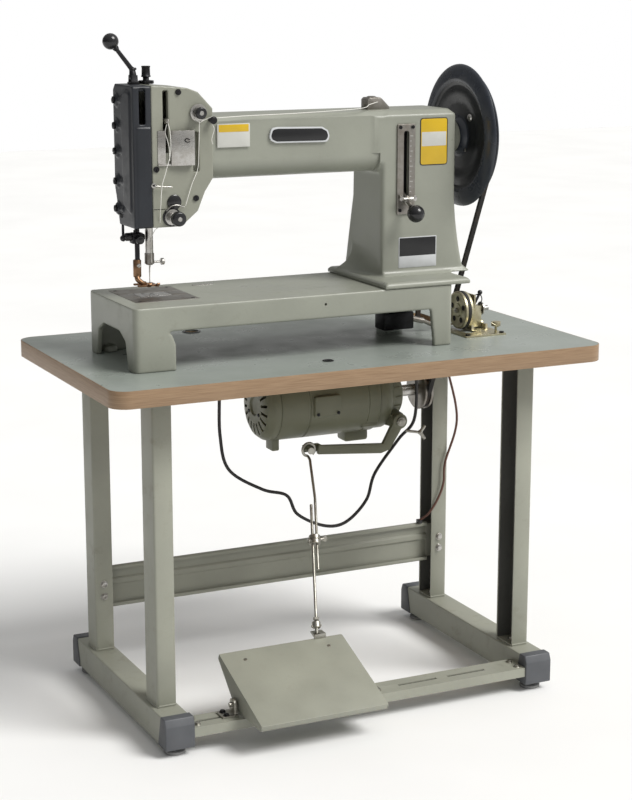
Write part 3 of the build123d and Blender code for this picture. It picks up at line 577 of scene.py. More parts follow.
def board_finish():
    """Chip board seen on the underside and in cut edges."""
    f = Finish("board")
    chips = f.patches(160, 4, 0.3, 0.7, 0.6, (1, 1, 3))
    color = f.mix(chips, linear(112, 88, 62), linear(158, 132, 98))
    return f.end(color, 0.75, f.bump(f.noise(240, 4), 0.25))


def edging_finish():
    """Wood-toned edge band with long grain."""
    f = Finish("edging")
    lines = f.patches(40, 5, 0.3, 0.7, 0.6, (0.4, 0.4, 14))
    color = f.mix(lines, linear(128, 102, 76), linear(154, 128, 100))
    return f.end(color, 0.45, f.bump(f.noise(160, 3, 0.5, (0.5, 0.5, 10)), 0.05))


def belt_finish():
    """Rubber belt with worn fabric showing brown in patches."""
    f = Finish("belt")
    color = f.mix(f.patches(24, 6, 0.5, 0.75), linear(34, 33, 32), linear(62, 50, 40))
    return f.end(color, 0.8, f.bump(f.noise(700, 2, 0.5, (1, 4, 4)), 0.3))


def print_finish(name, base, ink, rough=0.3):
    """Printed film: even tone with faint scuffs."""
    f = Finish(name)
    scuff = f.times(f.patches(40, 5, 0.4, 0.75), 0.2)
    return f.end(f.mix(scuff, base, ink), rough, f.bump(f.noise(300, 2), 0.03))


def enamel(name, base, dirt, chip, rough, **wear):
    """Paint from three display colours."""
    return paint(name, linear(*base), linear(*dirt), linear(*chip), rough, **wear)


CAST = enamel("casting_paint", (143, 145, 134), (86, 82, 68), (184, 185, 178), 0.34)
# Casting paint made a little darker for the head: painted shade, as the head's front is turned away from the
# key light.
HEAD_PAINT_SHADED = enamel("head_paint_painted_shade", (138, 139, 127), (82, 78, 64), (176, 176, 168), 0.32)
COVER = enamel("cover_paint", (30, 33, 39), (24, 23, 21), (112, 112, 110), 0.36, worn=0.5, blotch=0.2)
# Black wheel paint made lighter: painted highlight for the broad rim.
WHEEL_PAINT_HIGHLIT = enamel("wheel_paint", (54, 58, 66), (60, 58, 54), (120, 122, 124), 0.26, worn=0.45, grain=0.06)
# Darker copy of the wheel paint: painted shade for the recessed web.
WHEEL_WEB_SHADE = enamel("wheel_web_painted_shade", (22, 24, 26), (40, 38, 34), (90, 92, 94), 0.32, worn=0.3)
STAND = enamel("stand_paint", (147, 148, 136), (88, 82, 64), (180, 180, 170), 0.42)
# Darker copy of the stand paint: painted shade for the inside of the channel columns.
STAND_PAINTED_SHADE = enamel("stand_painted_shade", (84, 84, 80), (56, 54, 48), (120, 118, 112), 0.6)
# Motor paint darkened: painted shade, as the motor hangs in the shade under the table.
MOTOR_PAINT_SHADED = enamel("motor_paint", (104, 105, 86), (52, 47, 36), (146, 146, 130), 0.40)
STEEL = metal("steel", linear(190, 188, 184), linear(120, 108, 92), rough=0.26)
WORN = metal("worn_steel", linear(150, 146, 140), linear(92, 78, 62), rough=0.38)
DARK = metal("dark_steel", linear(56, 56, 58), linear(36, 32, 28), rough=0.40)
ZINC = metal("zinc", linear(176, 174, 166), linear(116, 106, 88), rough=0.36)
GOLD_ZINC = metal("yellow_zinc", linear(204, 198, 170), linear(140, 114, 80), rough=0.36)
BRONZE = metal("bronze", linear(150, 118, 92), linear(84, 58, 40), rough=0.34)
BLACK = plastic("black_plastic", linear(24, 24, 26), rough=0.22, dust=0.12)
CAP = plastic("cap_plastic", linear(76, 78, 82), rough=0.48, grain=0.12, dust=0.3)
PAD = plastic("pad_plastic", linear(126, 126, 126), rough=0.5, dust=0.3)
RUBBER = plastic("rubber", linear(30, 29, 28), rough=0.62, grain=0.15, dust=0.35)
CABLE = plastic("cable_rubber", linear(40, 38, 38), rough=0.5, dust=0.25)
BROWN_CABLE = plastic("brown_cable", linear(92, 60, 48), rough=0.5, dust=0.25)
# Flat black: painted shade in slots and holes and behind vents.
SHADE_BLACK = plastic("painted_shade_black", linear(14, 14, 14), rough=0.9, dust=0.1)
THREAD = plastic("thread", linear(226, 224, 216), rough=0.8, dust=0.1)
LAMINATE = laminate_finish()
BOARD = board_finish()
EDGING = edging_finish()
BELT = belt_finish()
YELLOW = print_finish("label_yellow", linear(204, 168, 30), linear(180, 146, 22))
INK = print_finish("label_black", linear(18, 18, 20), linear(34, 34, 36))
SILVER = print_finish("label_silver", linear(196, 198, 200), linear(160, 162, 164), rough=0.24)
WHITE = print_finish("label_white", linear(196, 196, 190), linear(170, 170, 164))

SLOT_LOOK = {
    "casting_paint": CAST, "cover_paint": COVER, "wheel_paint": WHEEL_PAINT_HIGHLIT, "stand_paint": STAND,
    "motor_paint": MOTOR_PAINT_SHADED, "laminate": LAMINATE, "board": BOARD, "edging": EDGING, "cap_plastic": CAP,
    "steel": STEEL, "dark_steel": DARK, "zinc": ZINC, "black_plastic": BLACK, "bronze": BRONZE,
    "belt_rubber": BELT, "cable_rubber": CABLE, "rotor_steel": WORN, "label": YELLOW,
}


# ---- places taken from the frame --------------------------------------------------
ARM = Extent("arm_casting")
HEAD_BOX = Extent("head_casting")
BED = Extent("bed_casting")
COVER_BOX = Extent("face_cover")
WHEEL_BOX = Extent("handwheel")
BELT_BOX = Extent("drive_belt")
NEEDLE_BOX = Extent("needle")
PRESSER_BOX = Extent("presser_bar")
TAKE_UP = Extent("take_up_lever")
STITCH = Extent("stitch_plate")
UPPER_KNOB = Extent("upper_tension_knob")
LOWER_KNOB = Extent("lower_tension_knob")
PULLEY_BOX = Extent("motor_pulley")
TABLE_BOX = Extent("table_edging")
FACE_Y = HEAD_BOX.y0                        # front plane of the head and arm
SHAFT = (WHEEL_BOX.cy, WHEEL_BOX.cz)        # main shaft line
MOTOR_AXIS = (PULLEY_BOX.cy, PULLEY_BOX.cz)
NEEDLE_X = NEEDLE_BOX.cx
PRESSER_X = PRESSER_BOX.cx
AXIS_Y = NEEDLE_BOX.cy
COLUMN = (145, 337)                         # left and right faces of the machine's column
HUB_X = COLUMN[1] + 16.8                    # left end of the handwheel's grey hub
FLANGE = 14                                 # thickness of the column's foot flange
ARM_UNDER = 1226                            # underside of the arm
COVER_BOSSES = (1165, 1225, 1290, 1345, 1400)


def across(y, z):
    """Line along +X through (y, z), for parts turned about a shaft."""
    return (0, y, z), (1, y, z)


def forward(x, z, y=None):
    """Line from the machine's front plane, or from y, towards the operator."""
    y = FACE_Y if y is None else y
    return (x, y, z), (x, y - 1, z)


def upright(x, y, z):
    """Line straight up from a point."""
    return (x, y, z), (x, y, z + 1)


def disc(r, height, start=0.0):
    """Profile of a plain round plate."""
    return [(start, 0), (start, r), (height, r), (height, 0)]


def copied(name, node, look, bevel):
    """A piece that is the CAD node itself with its edges broken by bevel."""
    piece = Piece(name, look)
    soften(piece, node, bevel)
    piece.done(node)


# ---- castings ---------------------------------------------------------------------
def make_arm():
    """Arm and column in one casting: rounded underside, set back from the column, flared foot."""
    arm = Piece("arm_body", CAST)
    soften(arm, "arm_casting", 0)
    foot = BED.z1 + FLANGE
    layer = 3.0
    for k in range(20):
        rise = layer * k
        flare = 36 * math.exp(-rise / 22)
        front = FACE_Y + 0.6 - 9 * math.exp(-rise / 4)
        back = FACE_Y + 148 + 0.5 * flare
        right = COLUMN[1] + 1 + flare
        section = [(COLUMN[0] + 1, front), (right, front), (right, back), (COLUMN[0] + 2 - flare, back)]
        arm.prism("xy", section, foot + rise - 0.5, foot + rise + layer + 0.5)
    step_x = STITCH.x0 - 42
    depth = 4.0
    left = HEAD_BOX.x1 - 40
    clear = FACE_Y - 30
    turns = [math.pi * k / 10 for k in range(11)]
    ramp = [(step_x - 26 * a / math.pi, FACE_Y + depth * (1 - math.cos(a)) / 2) for a in turns]
    outline = [(left, clear), (step_x + 20, clear), (step_x + 1, FACE_Y - 0.3)] + ramp
    setback = Piece("cut")
    setback.prism("xy", outline + [(left, FACE_Y + depth)], ARM_UNDER - 1, ARM.z1 + 20)
    r = 44
    below = ARM_UNDER - 30
    curve = arc(FACE_Y + depth + r, ARM_UNDER + r, r, 180, 270, 14)
    corner = [(clear, ARM_UNDER + r)] + curve + [(FACE_Y + depth + r, below), (clear, below)]
    under = Piece("cut")
    under.prism("yz", corner, left, step_x)
    arm.done("arm_casting", cast=2.6, relax=9, cutters=[setback, under])
    collar = Piece("hub_collar", WORN)
    x = HUB_X - 0.8
    profile = [(x, 27), (x, 31), (x + 0.6, 31.6), (x + 1.6, 31.6), (x + 1.8, 27)]
    collar.lathe(*across(*SHAFT), profile, closed=True)
    collar.add("machine", "steel")


def make_bed():
    """Bed casting on four round pads, with the knee-lift block between its legs."""
    bed = Piece("bed_body", CAST)
    soften(bed, "bed_casting", 0)
    for x in (BED.x0 + 40, BED.x1 - 24):
        for y in (BED.y0 + 22, BED.y1 - 22):
            bed.lathe(*upright(x, y, BED.z0), [(0, 0), (0, 17), (9, 17), (14, 12), (14, 0)])
    oil_hole = Piece("cut")
    oil_hole.rod((-43, BED.y0 - 2, 950), (-43, BED.y0 + 9, 950), 3.2)
    bed.done("bed_casting", cast=2.4, relax=7, cutters=[oil_hole])
    joint, elbow, end = (262, -7, 868), (300, -7, 858), (326, -7, 846)
    block = Piece("knee_lift_block", DARK, WORN)
    block.box((182, 262), (-32, 18), (846, 888), bevel=4)
    block.rod(joint, elbow, 7, mat=1)
    block.rod(elbow, end, 5, mat=1)
    block.lathe(joint, (270, -7, 866), [(0, 0), (0, 12), (6, 12), (8, 9), (8, 0)], mat=1)
    block.box((196, 248), (-24, 10), (886, BED.z1 - 11), bevel=3)
    block.add("machine", "dark_steel")


def make_head():
    """Head casting with its thread slit, and a black sheet of painted shade inside the take-up slot."""
    # The head takes the darker copy of the casting paint: painted shade.
    head = Piece("head_body", HEAD_PAINT_SHADED)
    soften(head, "head_casting", 0)
    slit = Piece("cut")
    slit.prism("xz", rect(-432, -384, 1168.6, 1170.4), FACE_Y - 2, FACE_Y + 5)
    head.done("head_casting", cast=1.7, relax=3, cutters=[slit])
    # Black sheet behind the take-up slot: painted shade.
    dark = Piece("head_slot_painted_shade", SHADE_BLACK)
    wall = HEAD_BOX.y1 - 12
    dark.box((TAKE_UP.cx - 9, TAKE_UP.cx + 9), (wall - 1, wall + 1), (1285, 1426), bevel=0.5)
    dark.add("machine", "dark_steel")


def make_cover():
    """End cover: faceted front edge, ribs and screw bosses down its outer face."""
    c = COVER_BOX
    cover = Piece("face_cover_body", COVER)
    soften(cover, "face_cover", 0)
    ridge = FACE_Y + 14
    outline = [(ridge, c.z0 + 30), (ridge + 46, c.z0 + 44), (ridge + 58, c.z1 - 30),
               (ridge + 30, c.z1 - 10), (ridge, c.z1 - 14)]
    cover.prism("yz", rounded(outline, 10), c.x0 - 3.5, c.x0 + 3, bevel=2.5)
    y = c.y1 - 24
    for z in COVER_BOSSES:
        cover.lathe((c.x0 + 2, y, z), (c.x0 - 6, y, z), [(0, 0), (0, 15), (6, 13), (8, 10), (8, 0)])
        cover.box((c.x0 - 4, c.x0 + 2), (y - 34, y), (z - 5, z + 5), bevel=2)
    lip = [(c.x0 + 1, FACE_Y + 9), (c.x0 + 9, FACE_Y - 1.5), (c.x1 - 2, FACE_Y - 2.5), (c.x1 - 2, FACE_Y + 9)]
    cover.prism("xy", rounded(lip, 2), c.z0 + 3, c.z1 - 90)
    cover.done("face_cover", cast=1.7, relax=4)


# ---- handwheel --------------------------------------------------------------------
def wheel_section(r, bx, half):
    """The wheel's section in pieces: (hub, web, rest), each a list of (x, radius)."""
    hub = [(bx - 27, 12.5), (bx - 27, 34), (bx - 24, 39), (bx - 14, 44)]
    web = [(bx - 12.5, 50), (bx - 12, 74), (bx - 12, 84), (bx - 14.5, 92), (bx - 14.5, 108),
           (bx - 12.5, 116), (bx - 13, 121), (bx - 16, 125)]
    crown_r = 130
    crown = []
    for k in range(17):
        a = math.pi * k / 32
        crown.append((bx - 7 - 12 * math.cos(a), crown_r + (r - crown_r) * math.sin(a)))
    groove_r = 138.7
    groove = [(bx - half, r - 2), (bx - half, groove_r), (bx + half, groove_r), (bx + half, 149)]
    back_x = bx + half + 5
    back = [(back_x - 2, 150), (back_x, 147), (back_x, 127), (bx, 119), (bx - 6, 112), (bx - 6, 46),
            (bx, 41), (back_x - 1, 37), (back_x, 34), (back_x, 12.5)]
    return hub, web, crown + groove + back


def make_handwheel():
    """Dished wheel: broad rounded rim in front, recessed web, belt groove behind the rim; the paint is
    lightened for a painted highlight on the rim, and the web is covered by a darker layer of painted shade.
    """
    y, z = SHAFT
    axis = across(y, z)
    bx = BELT_BOX.cx
    half = (BELT_BOX.x1 - BELT_BOX.x0) / 2 + 0.2
    hub, web, rest = wheel_section(WHEEL_BOX.z1 - z, bx, half)
    wheel = Piece("handwheel_body", WHEEL_PAINT_HIGHLIT, CAST, WHEEL_WEB_SHADE)
    wheel.lathe(*axis, hub + web + rest, sides=96, closed=True)
    # Dark layer just in front of the web: painted shade in the wheel's recess.
    wheel.lathe(*axis, [(x - 0.4, radius) for x, radius in web], mat=2, sides=96)
    bore = 12.8
    hub_end = HUB_X + 17.2
    boss = [(HUB_X, bore), (HUB_X, 34), (HUB_X + 2.2, 38), (hub_end - 2, 38), (hub_end, 36), (hub_end, bore)]
    wheel.lathe(*axis, boss, mat=1, sides=64, closed=True)
    wheel.done("handwheel")
    bolts = Piece("handwheel_bolts", STEEL)
    face = bx - 12
    large = [(-3, 0), (-3, 9), (1, 9), (4, 7), (5.5, 3), (5.5, 0)]
    small = [(-3, 0), (-3, 4), (1.5, 4), (3, 2.5), (3, 0)]
    bolts.lathe((face, -62.5, 1340), (face - 1, -62.5, 1340), large)
    bolts.lathe((face, -44.4, 1263.4), (face - 1, -44.4, 1263.4), small)
    bolt_circle = 78
    for turn in (100, 200, 300):
        a = math.radians(turn)
        center = (bx - 6, y - bolt_circle * math.cos(a), z + bolt_circle * math.sin(a))
        bolts.screw(center, (1, 0, 0), 7, 5, slot="hex")
    bolts.screw((bx + half + 5, y, z), (1, 0, 0), 9, 1.5, slot="cap")
    bolts.done("handwheel_screws")
    shaft = Piece("main_shaft_body", STEEL)
    s = Extent("main_shaft")
    shaft.lathe(*axis, [(s.x0, 0), (s.x0, 30), (s.x0 + 12, 30), (s.x0 + 12, 12.5), (s.x1 - 1, 12.5),
                        (s.x1, 11.5), (s.x1, 0)])
    shaft.done("main_shaft")


# ---- head fittings ------------------------------------------------------------------
def coil(piece, c, axis, r, wire, length, turns):
    """Spring wound about an axis from c."""
    frame_to = along(c, Vector(c) + Vector(axis))
    n = int(turns * 20)
    path = []
    for k in range(n + 1):
        a = 2 * math.pi * turns * k / n
        path.append(frame_to @ Vector((r * math.cos(a), r * math.sin(a), length * k / n)))
    piece.tube(path, wire, sides=8)


def knurled(piece, p, q, r, mat=0, teeth=28, depth=0.05):
    """Knob with a fluted grip and a smooth dished face."""
    length = (Vector(q) - Vector(p)).length

    def wave(a, radius):
        """Flutes cut only into the grip."""
        return radius * (1 - depth * (0.5 + 0.5 * math.cos(a * teeth)) * (1 if radius > r * 0.93 else 0))

    profile = [(0, 0), (0, r * 0.88), (length * 0.12, r), (length * 0.78, r), (length * 0.92, r * 0.92),
               (length, r * 0.78), (length * 0.97, r * 0.5), (length, r * 0.42), (length, 0)]
    piece.lathe(p, q, profile, mat, teeth * 4, wave=wave)


def make_tension_discs():
    """Two pairs of dished discs on studs, their springs and the check-spring hub."""
    y = FACE_Y
    discs = Piece("tension_disc_sets", STEEL, DARK, BLACK)
    upper = (UPPER_KNOB.cx, UPPER_KNOB.cz)
    lower = (LOWER_KNOB.cx, LOWER_KNOB.cz)
    for (x, z), r, front in ((upper, 19, -22), (lower, 17, -47)):
        plate = [(-2, 0), (-2, r * 0.9), (2, r * 0.9), (2.5, r * 0.5), (2.5, 0)]
        discs.lathe(*forward(x, z), plate, mat=1)
        for d, way in ((3.4, 1), (5.6, -1)):
            dish = [(d, 3), (d + 0.5 * way, r * 0.55), (d + 1.1 * way, r * 0.98), (d + 1.1 * way + 0.5, r),
                    (d + 0.8, r * 0.55), (d + 0.8, 3)]
            discs.lathe(*forward(x, z), dish, closed=True)
        discs.rod((x, y + 8, z), (x, y + front, z), 3)
    discs.lathe(*forward(*lower), [(-1, 0), (-1, 21), (1.5, 21), (2.2, 19), (2.2, 0)], mat=2)
    coil(discs, (lower[0], y - 8, lower[1]), (0, -1, 0), 8.5, 1.1, 22, 5)
    coil(discs, (upper[0], y - 6.5, upper[1]), (0, -1, 0), 9.5, 1.0, 5, 2)
    discs.lathe(*forward(-364, 1184), [(0, 0), (0, 16), (3, 16), (4.5, 14), (4.5, 0)], mat=2)
    discs.wire([(-384, y - 5, 1166), (-374, y - 8, 1176), (-360, y - 9, 1178), (-344, y - 8, 1173)], 1.5)
    discs.done("tension_discs")


def make_tensions():
    """Tension discs and the two knobs that set them."""
    make_tension_discs()
    y = FACE_Y
    x, z = UPPER_KNOB.cx, UPPER_KNOB.cz
    upper = Piece("upper_tension_knob_grip", BLACK, STEEL)
    knurled(upper, (x, y - 11.5, z), (x, y - 24, z), 13)
    upper.rod((x, y - 22, z), (x, y - 24.6, z), 5, mat=1)
    upper.done("upper_tension_knob")
    x, z = LOWER_KNOB.cx, LOWER_KNOB.cz
    lower = Piece("lower_tension_knob_grip", BLACK, STEEL)
    knurled(lower, (x, y - 32, z), (x, y - 50, z), 16, teeth=32)
    lower.rod((x, y - 47, z), (x, y - 50.6, z), 5, mat=1)
    lower.done("lower_tension_knob")


def make_shield(piece):
    """Curved shield over the lower part of the take-up slot, in two leaves with an edge strip."""
    y = FACE_Y
    left, right = -400, -320
    low, high = 1263, 1338
    for x0, x1 in ((left, TAKE_UP.cx - 6), (TAKE_UP.cx + 6, right)):
        outer = []
        inner = []
        steps = 10
        for k in range(steps + 1):
            x = x0 + (x1 - x0) * k / steps
            rise = 13 * math.sin(math.pi * (x - left) / (right - left) * 0.5) + 1.5
            outer.append((x, y - rise))
            inner.append((x, y - rise + 1.6))
        piece.prism("xy", outer + inner[::-1], low, high, bevel=0.4)
    piece.prism("xz", rounded(rect(left, right, low, low + 5), 1), y - 4, y, bevel=0.5)
    piece.box((right - 2, right + 0.5), (y - 14.2, y + 0.5), (low, high), bevel=0.5)


def make_thread_guides():
    """Guide post, guide stud with its wire, and the shield with a small hook on it."""
    y = FACE_Y
    guides = Piece("thread_guide_set", STEEL, DARK)
    post = [(-1, 0), (-1, 5), (14, 5), (15, 8), (19, 8.5), (21, 6), (21, 0)]
    guides.lathe(*forward(-277, 1358), post, mat=1)
    stud = [(-1, 0), (-1, 5.5), (3, 5.5), (3.5, 3), (12, 3), (13.5, 2), (13.5, 0)]
    guides.lathe(*forward(-411, 1222), stud)
    guides.wire([(-411, y - 10, 1222), (-395, y - 10.5, 1219.5), (-372, y - 10, 1218)], 1.5)
    make_shield(guides)
    guides.done("thread_guides")
    hook = Piece("shield_spring", DARK)
    bend = [(-331, 1318), (-338, 1321), (-342, 1317), (-337, 1313), (-331, 1314)]
    hook.wire([(x, y - 15, z) for x, z in bend], 1.1)
    hook.add("machine", "dark_steel")


def make_machine_screws():
    """Screws of the head, the cover, the stitch plate and the rear brace."""
    y = FACE_Y
    screws = Piece("machine_screw_set", DARK, STEEL)
    for x, z, turn in ((-351, 1419, 30), (-404, 1256, 70), (-313, 1190, 110)):
        screws.screw((x, y, z), (0, -1, 0), 6.5, 3.4, turn=turn)
    for z in COVER_BOSSES:
        screws.screw((COVER_BOX.x0 - 5, COVER_BOX.y1 - 24, z), (-1, 0, 0), 7.5, 5, turn=z)
    for x in (STITCH.x0 + 7, STITCH.x1 - 7):
        for z in (STITCH.z0 + 9, STITCH.z1 - 7):
            screws.screw((x, STITCH.y0, z), (0, -1, 0), 4, 2.6, turn=x + z)
    brace = Extent("rear_brace")
    for side in (-1, 1):
        for z in (brace.z0 + 36, brace.z0 + 66):
            screws.screw((side * 455, BACK_Y[0], z), (0, -1, 0), 7.5, 6, mat=1, slot="hex", turn=z)
    screws.done("machine_screws")


def make_take_up():
    """Take-up lever: hub, blade with an eye, and the wire loop at its tip."""
    x = TAKE_UP.x0 + 2.5
    y, z = TAKE_UP.y1 - 13, TAKE_UP.cz
    lever = Piece("take_up_arm", STEEL)
    lever.rod((TAKE_UP.x0, y, z), (TAKE_UP.x1, y, z), 13)
    blade = rounded([(y, z - 9), (y, z + 9), (y - 60, z + 9), (y - 84, z + 7), (y - 92, z + 8),
                     (y - 92, z - 2), (y - 84, z - 4), (y - 60, z - 6)], 3)
    lever.prism("yz", blade, x - 2.3, x + 2.3, bevel=0.8)
    lever.ring((x, y - 93, z + 3), (1, 0, 0), 4.2, 1.7)
    lever.done("take_up_lever")


def make_needle_group():
    """Needle bar with its clamp sleeve, clamp knob and wire guide, and the needle."""
    x, y = NEEDLE_X, AXIS_Y
    bar_box = Extent("needle_bar")
    low, high = bar_box.z0, bar_box.z1
    length = high - low
    bar = Piece("needle_bar_rod", STEEL, WORN)
    rod = [(0, 0), (0, 7), (1.5, 8.6), (3, 9), (length, 9), (length, 0)]
    bar.lathe((x, y, low), (x, y, high), rod)
    sleeve = [(0, 9.1), (0.4, 10.6), (23.6, 10.6), (24, 9.1)]
    bar.lathe((x, y, low + 2), (x, y, low + 26), sleeve, mat=1)
    bar.rod((x + 9, y - 4, low + 6), (x + 26, y - 4, low + 6), 2.5)
    knurled(bar, (x + 25, y - 4, low + 6), (x + 33, y - 4, low + 6), 7.5, teeth=18)
    bar.wire([(x, y - 10, low + 10), (x, y - 13, low + 4), (x + 2, y - 10, low + 1)], 0.9, mat=1)
    bar.done("needle_bar")
    n = NEEDLE_BOX
    length = n.z1 - n.z0
    needle = Piece("needle_shaft", STEEL, SHADE_BLACK)
    blade = [(0, 0), (0, 1.6), (39, 1.6), (41, 1.15), (length - 7, 1.1), (length, 0.15)]
    needle.lathe((x, y, n.z1), (x, y, n.z0), blade, sides=20)
    # Black box in the needle's eye: painted shade for the hole.
    needle.box((x - 0.3, x + 0.3), (y - 1.2, y + 1.2), (n.z0 + 6, n.z0 + 10), mat=1, bevel=0.1)
    needle.done("needle")


def make_presser_foot():
    """Walking foot: round shank, bent ankle and two toes joined by cross bars."""
    x, y = PRESSER_X - 1, AXIS_Y
    f = Extent("presser_foot")
    foot = Piece("presser_foot_walking", BRONZE, STEEL)
    shank = f.z0 + 22
    length = f.z1 - shank
    profile = [(0, 0), (0, 8), (2, 9), (length - 2, 9), (length, 7.5), (length, 0)]
    foot.lathe((x, y, shank), (x, y, f.z1), profile)
    ankle = smooth_path([(x, y - 1, f.z0 + 26), (x - 2, y - 8, f.z0 + 18), (x + 7, y - 12, f.z0 + 10),
                         (x + 15, y - 10, f.z0 + 8)])
    foot.tube(ankle, 6.2, sides=16, taper=lambda t: 1.1 - 0.35 * t)
    low = f.z0 + 0.8
    sole = rounded([(y - 30, low + 7), (y - 22, low), (y + 19, low), (y + 19, low + 4),
                    (y - 20, low + 4), (y - 28, low + 10)], 1.5)
    for side in (-1, 1):
        toe = NEEDLE_X + side * 9.5
        foot.prism("yz", sole, toe - 4, toe + 4, bevel=1)
    for front, back in ((y - 18, y - 8), (y + 9, y + 18)):
        foot.box((x - 4, NEEDLE_X + 13), (front, back), (f.z0 + 1.2, f.z0 + 5.4), bevel=1.5)
    foot.screw((x, y - 9, f.z1 - 12), (0, -1, 0), 4.5, 4, mat=1)
    foot.done("presser_foot")


def make_presser():
    """Presser bar, its guide block with three knobs, the lift rod beside it and the foot."""
    x, y = PRESSER_X, AXIS_Y
    p = PRESSER_BOX
    bar = Piece("presser_rod", DARK)
    bar.rod((x, y, p.z0), (x, y, p.z1), 5.5)
    bar.done("presser_bar")
    box = Extent("presser_guide_block")
    low, high = box.z0, box.z1
    guide = Piece("presser_guide_set", DARK, BLACK)
    guide.box((x - 14, x + 11), (y - 11, y + 11), (low, high), bevel=2.5)
    guide.rod((x - 8, y - 8, high), (x - 8, y - 8, high + 7), 3)
    knobs = (((x - 14, y - 4, high - 8), (x - 30, y - 4, high - 8), 9),
             ((x - 1, y - 11, low + 10), (x - 1, y - 26, low + 10), 10),
             ((x + 11, y - 4, high - 10), (x + 15.5, y - 4, high - 10), 7))
    for start, end, r in knobs:
        knurled(guide, start, end, r, mat=1, teeth=16, depth=0.1)
    guide.done("presser_guide_block")
    hanger = Piece("lift_chain_rod", DARK, BLACK)
    rod_x, rod_y = -452, y + 6
    hanger.rod((rod_x, rod_y, 1150), (rod_x, rod_y, 1104), 3)
    hanger.ball((rod_x, rod_y, 1100), 7, mat=1)
    hanger.rod((rod_x, rod_y, 1146), (rod_x, rod_y, 1154), 7, mat=1)
    hanger.add("machine", "dark_steel")
    make_presser_foot()


def make_bed_plates():
    """Slide plates, needle plate with slots round the feed dog, the toothed dog, an edge strip."""
    x, y, z = NEEDLE_X, AXIS_Y, BED.z1
    thick = 5
    left, right = -459.6, -312.4
    gap = (-425.6, -349.4)
    plates = Piece("slide_plate_set", WORN, DARK)
    for low, high in ((y - 91.6, y - 27), (y + 27, y + 91.6)):
        plates.prism("xy", rect(left, right, low, high, 3), z - thick, z, bevel=0.5)
    for x0, x1 in ((left, gap[0]), (gap[1], right)):
        plates.prism("xy", rect(x0, x1, y - 26, y + 26), z - thick, z, bevel=0.4)
    for dy in (-80, 80):
        for screw_x in (-448, -324):
            plates.screw((screw_x, y + dy, z - 1), (0, 0, 1), 4, 1.5, mat=1, turn=screw_x)
    for k in range(5):
        rib = -344 + k * 5
        plates.box((rib, rib + 0.8), (y - 88, y - 74), (z - 1, z + 0.25), mat=1, bevel=0.1)
    plates.done("slide_plates")
    strip = Piece("edge_guide_strip", STEEL)
    strip.box((-262, -212), (62, 70), (z - 1, z + 1.6), bevel=0.5)
    strip.add("machine", "steel")
    plate = Piece("needle_plate_steel", STEEL)
    openings = Piece("cut")
    openings.rod((x, y, z - 8), (x, y, z + 2), 3, sides=20)
    for x0, x1 in ((x - 15, x - 6), (x + 6, x + 15)):
        openings.box((x0, x1), (y - 19, y + 19), (z - 8, z + 2), bevel=0)
    outline = rect(gap[0] + 1, gap[1] - 1, y - 25.6, y + 25.6, 4)
    plate.prism("xy", outline, z - thick, z + 0.1, bevel=0.5)
    for screw_x in (-418, -357):
        plate.screw((screw_x, y, z - 1), (0, 0, 1), 4.5, 1.6, turn=screw_x)
    plate.done("needle_plate", cutters=[openings])
    dog = Piece("feed_dog_teeth", STEEL)
    soften(dog, "feed_dog", 0.2)
    for x0, x1 in ((x - 14.4, x - 6.6), (x + 6.6, x + 14.4)):
        for k in range(8):
            back = y - 11.5 + k * 3
            tooth = [(back, z - 0.6), (back + 2.3, z - 0.6), (back + 1.9, z + 0.5)]
            dog.prism("yz", tooth, x0, x1, bevel=0)
    dog.done("feed_dog")


def make_pressure_screw():
    """Pressure screw over the needle bar: rolled thread below, fluted head above."""
    box = Extent("presser_adjuster")
    line = (NEEDLE_X, AXIS_Y, box.z0), (NEEDLE_X, AXIS_Y, box.z1)
    top = box.z1 - box.z0

    def flutes(turn, r):
        """Shallow flutes round the head."""
        return r * (1 - 0.06 * (0.5 + 0.5 * math.cos(turn * 16)))

    screw = Piece("pressure_screw", DARK)
    thread = [(k, 6.6 if k % 2 else 7.0) for k in range(32)]
    screw.lathe(*line, [(0, 0)] + thread + [(31, 0)], sides=24)
    head = [(30, 0), (30, 9), (32, 11), (34, 9.5), (50, 9), (52, 10), (top - 1, 10), (top, 9), (top, 5),
            (50, 4), (50, 0)]
    screw.lathe(*line, head, sides=64, wave=flutes)
    screw.done("presser_adjuster")


def make_lifter():
    """Ball-ended lifting lever on its post, and the pressure screw beside it."""
    y = AXIS_Y
    box = Extent("presser_lifter")
    pivot = (PRESSER_X - 1.5, y, HEAD_BOX.z1 + 14)
    knee = (PRESSER_X - 3, y, HEAD_BOX.z1 + 30)
    ball_r = 17.5
    ball = (box.x0 + ball_r, y, box.z1 - ball_r)
    lever = Piece("lifter_lever", DARK, BLACK)
    lever.rod((pivot[0], y - 5, pivot[2]), (pivot[0], y + 5, pivot[2]), 8)
    lever.rod(pivot, knee, 8.5, 6.5, sides=20)
    lever.rod((knee[0] - 1, y, knee[2] - 2), (knee[0] + 9, y, knee[2] + 3), 3.5, 2.5)
    lever.ball(knee, 6.8)
    lever.rod(knee, ball, 5.2, 4.2)
    lever.ball(ball, ball_r, mat=1)
    way = (Vector(knee) - Vector(ball)).normalized()
    lever.rod(Vector(ball) + way * 13, Vector(ball) + way * 23, 8, 6, mat=1)
    lever.done("presser_lifter")
    post = Piece("lifter_post_body", DARK)
    soften(post, "lifter_post", 0.8)
    for k in range(6):
        a = math.radians(60 * k)
        x0, y0 = NEEDLE_X + 15 * math.cos(a), y + 15 * math.sin(a)
        post.rod((x0, y0, HEAD_BOX.z1), (x0, y0, HEAD_BOX.z1 + 6.5), 3)
    post.done("lifter_post")
    make_pressure_screw()


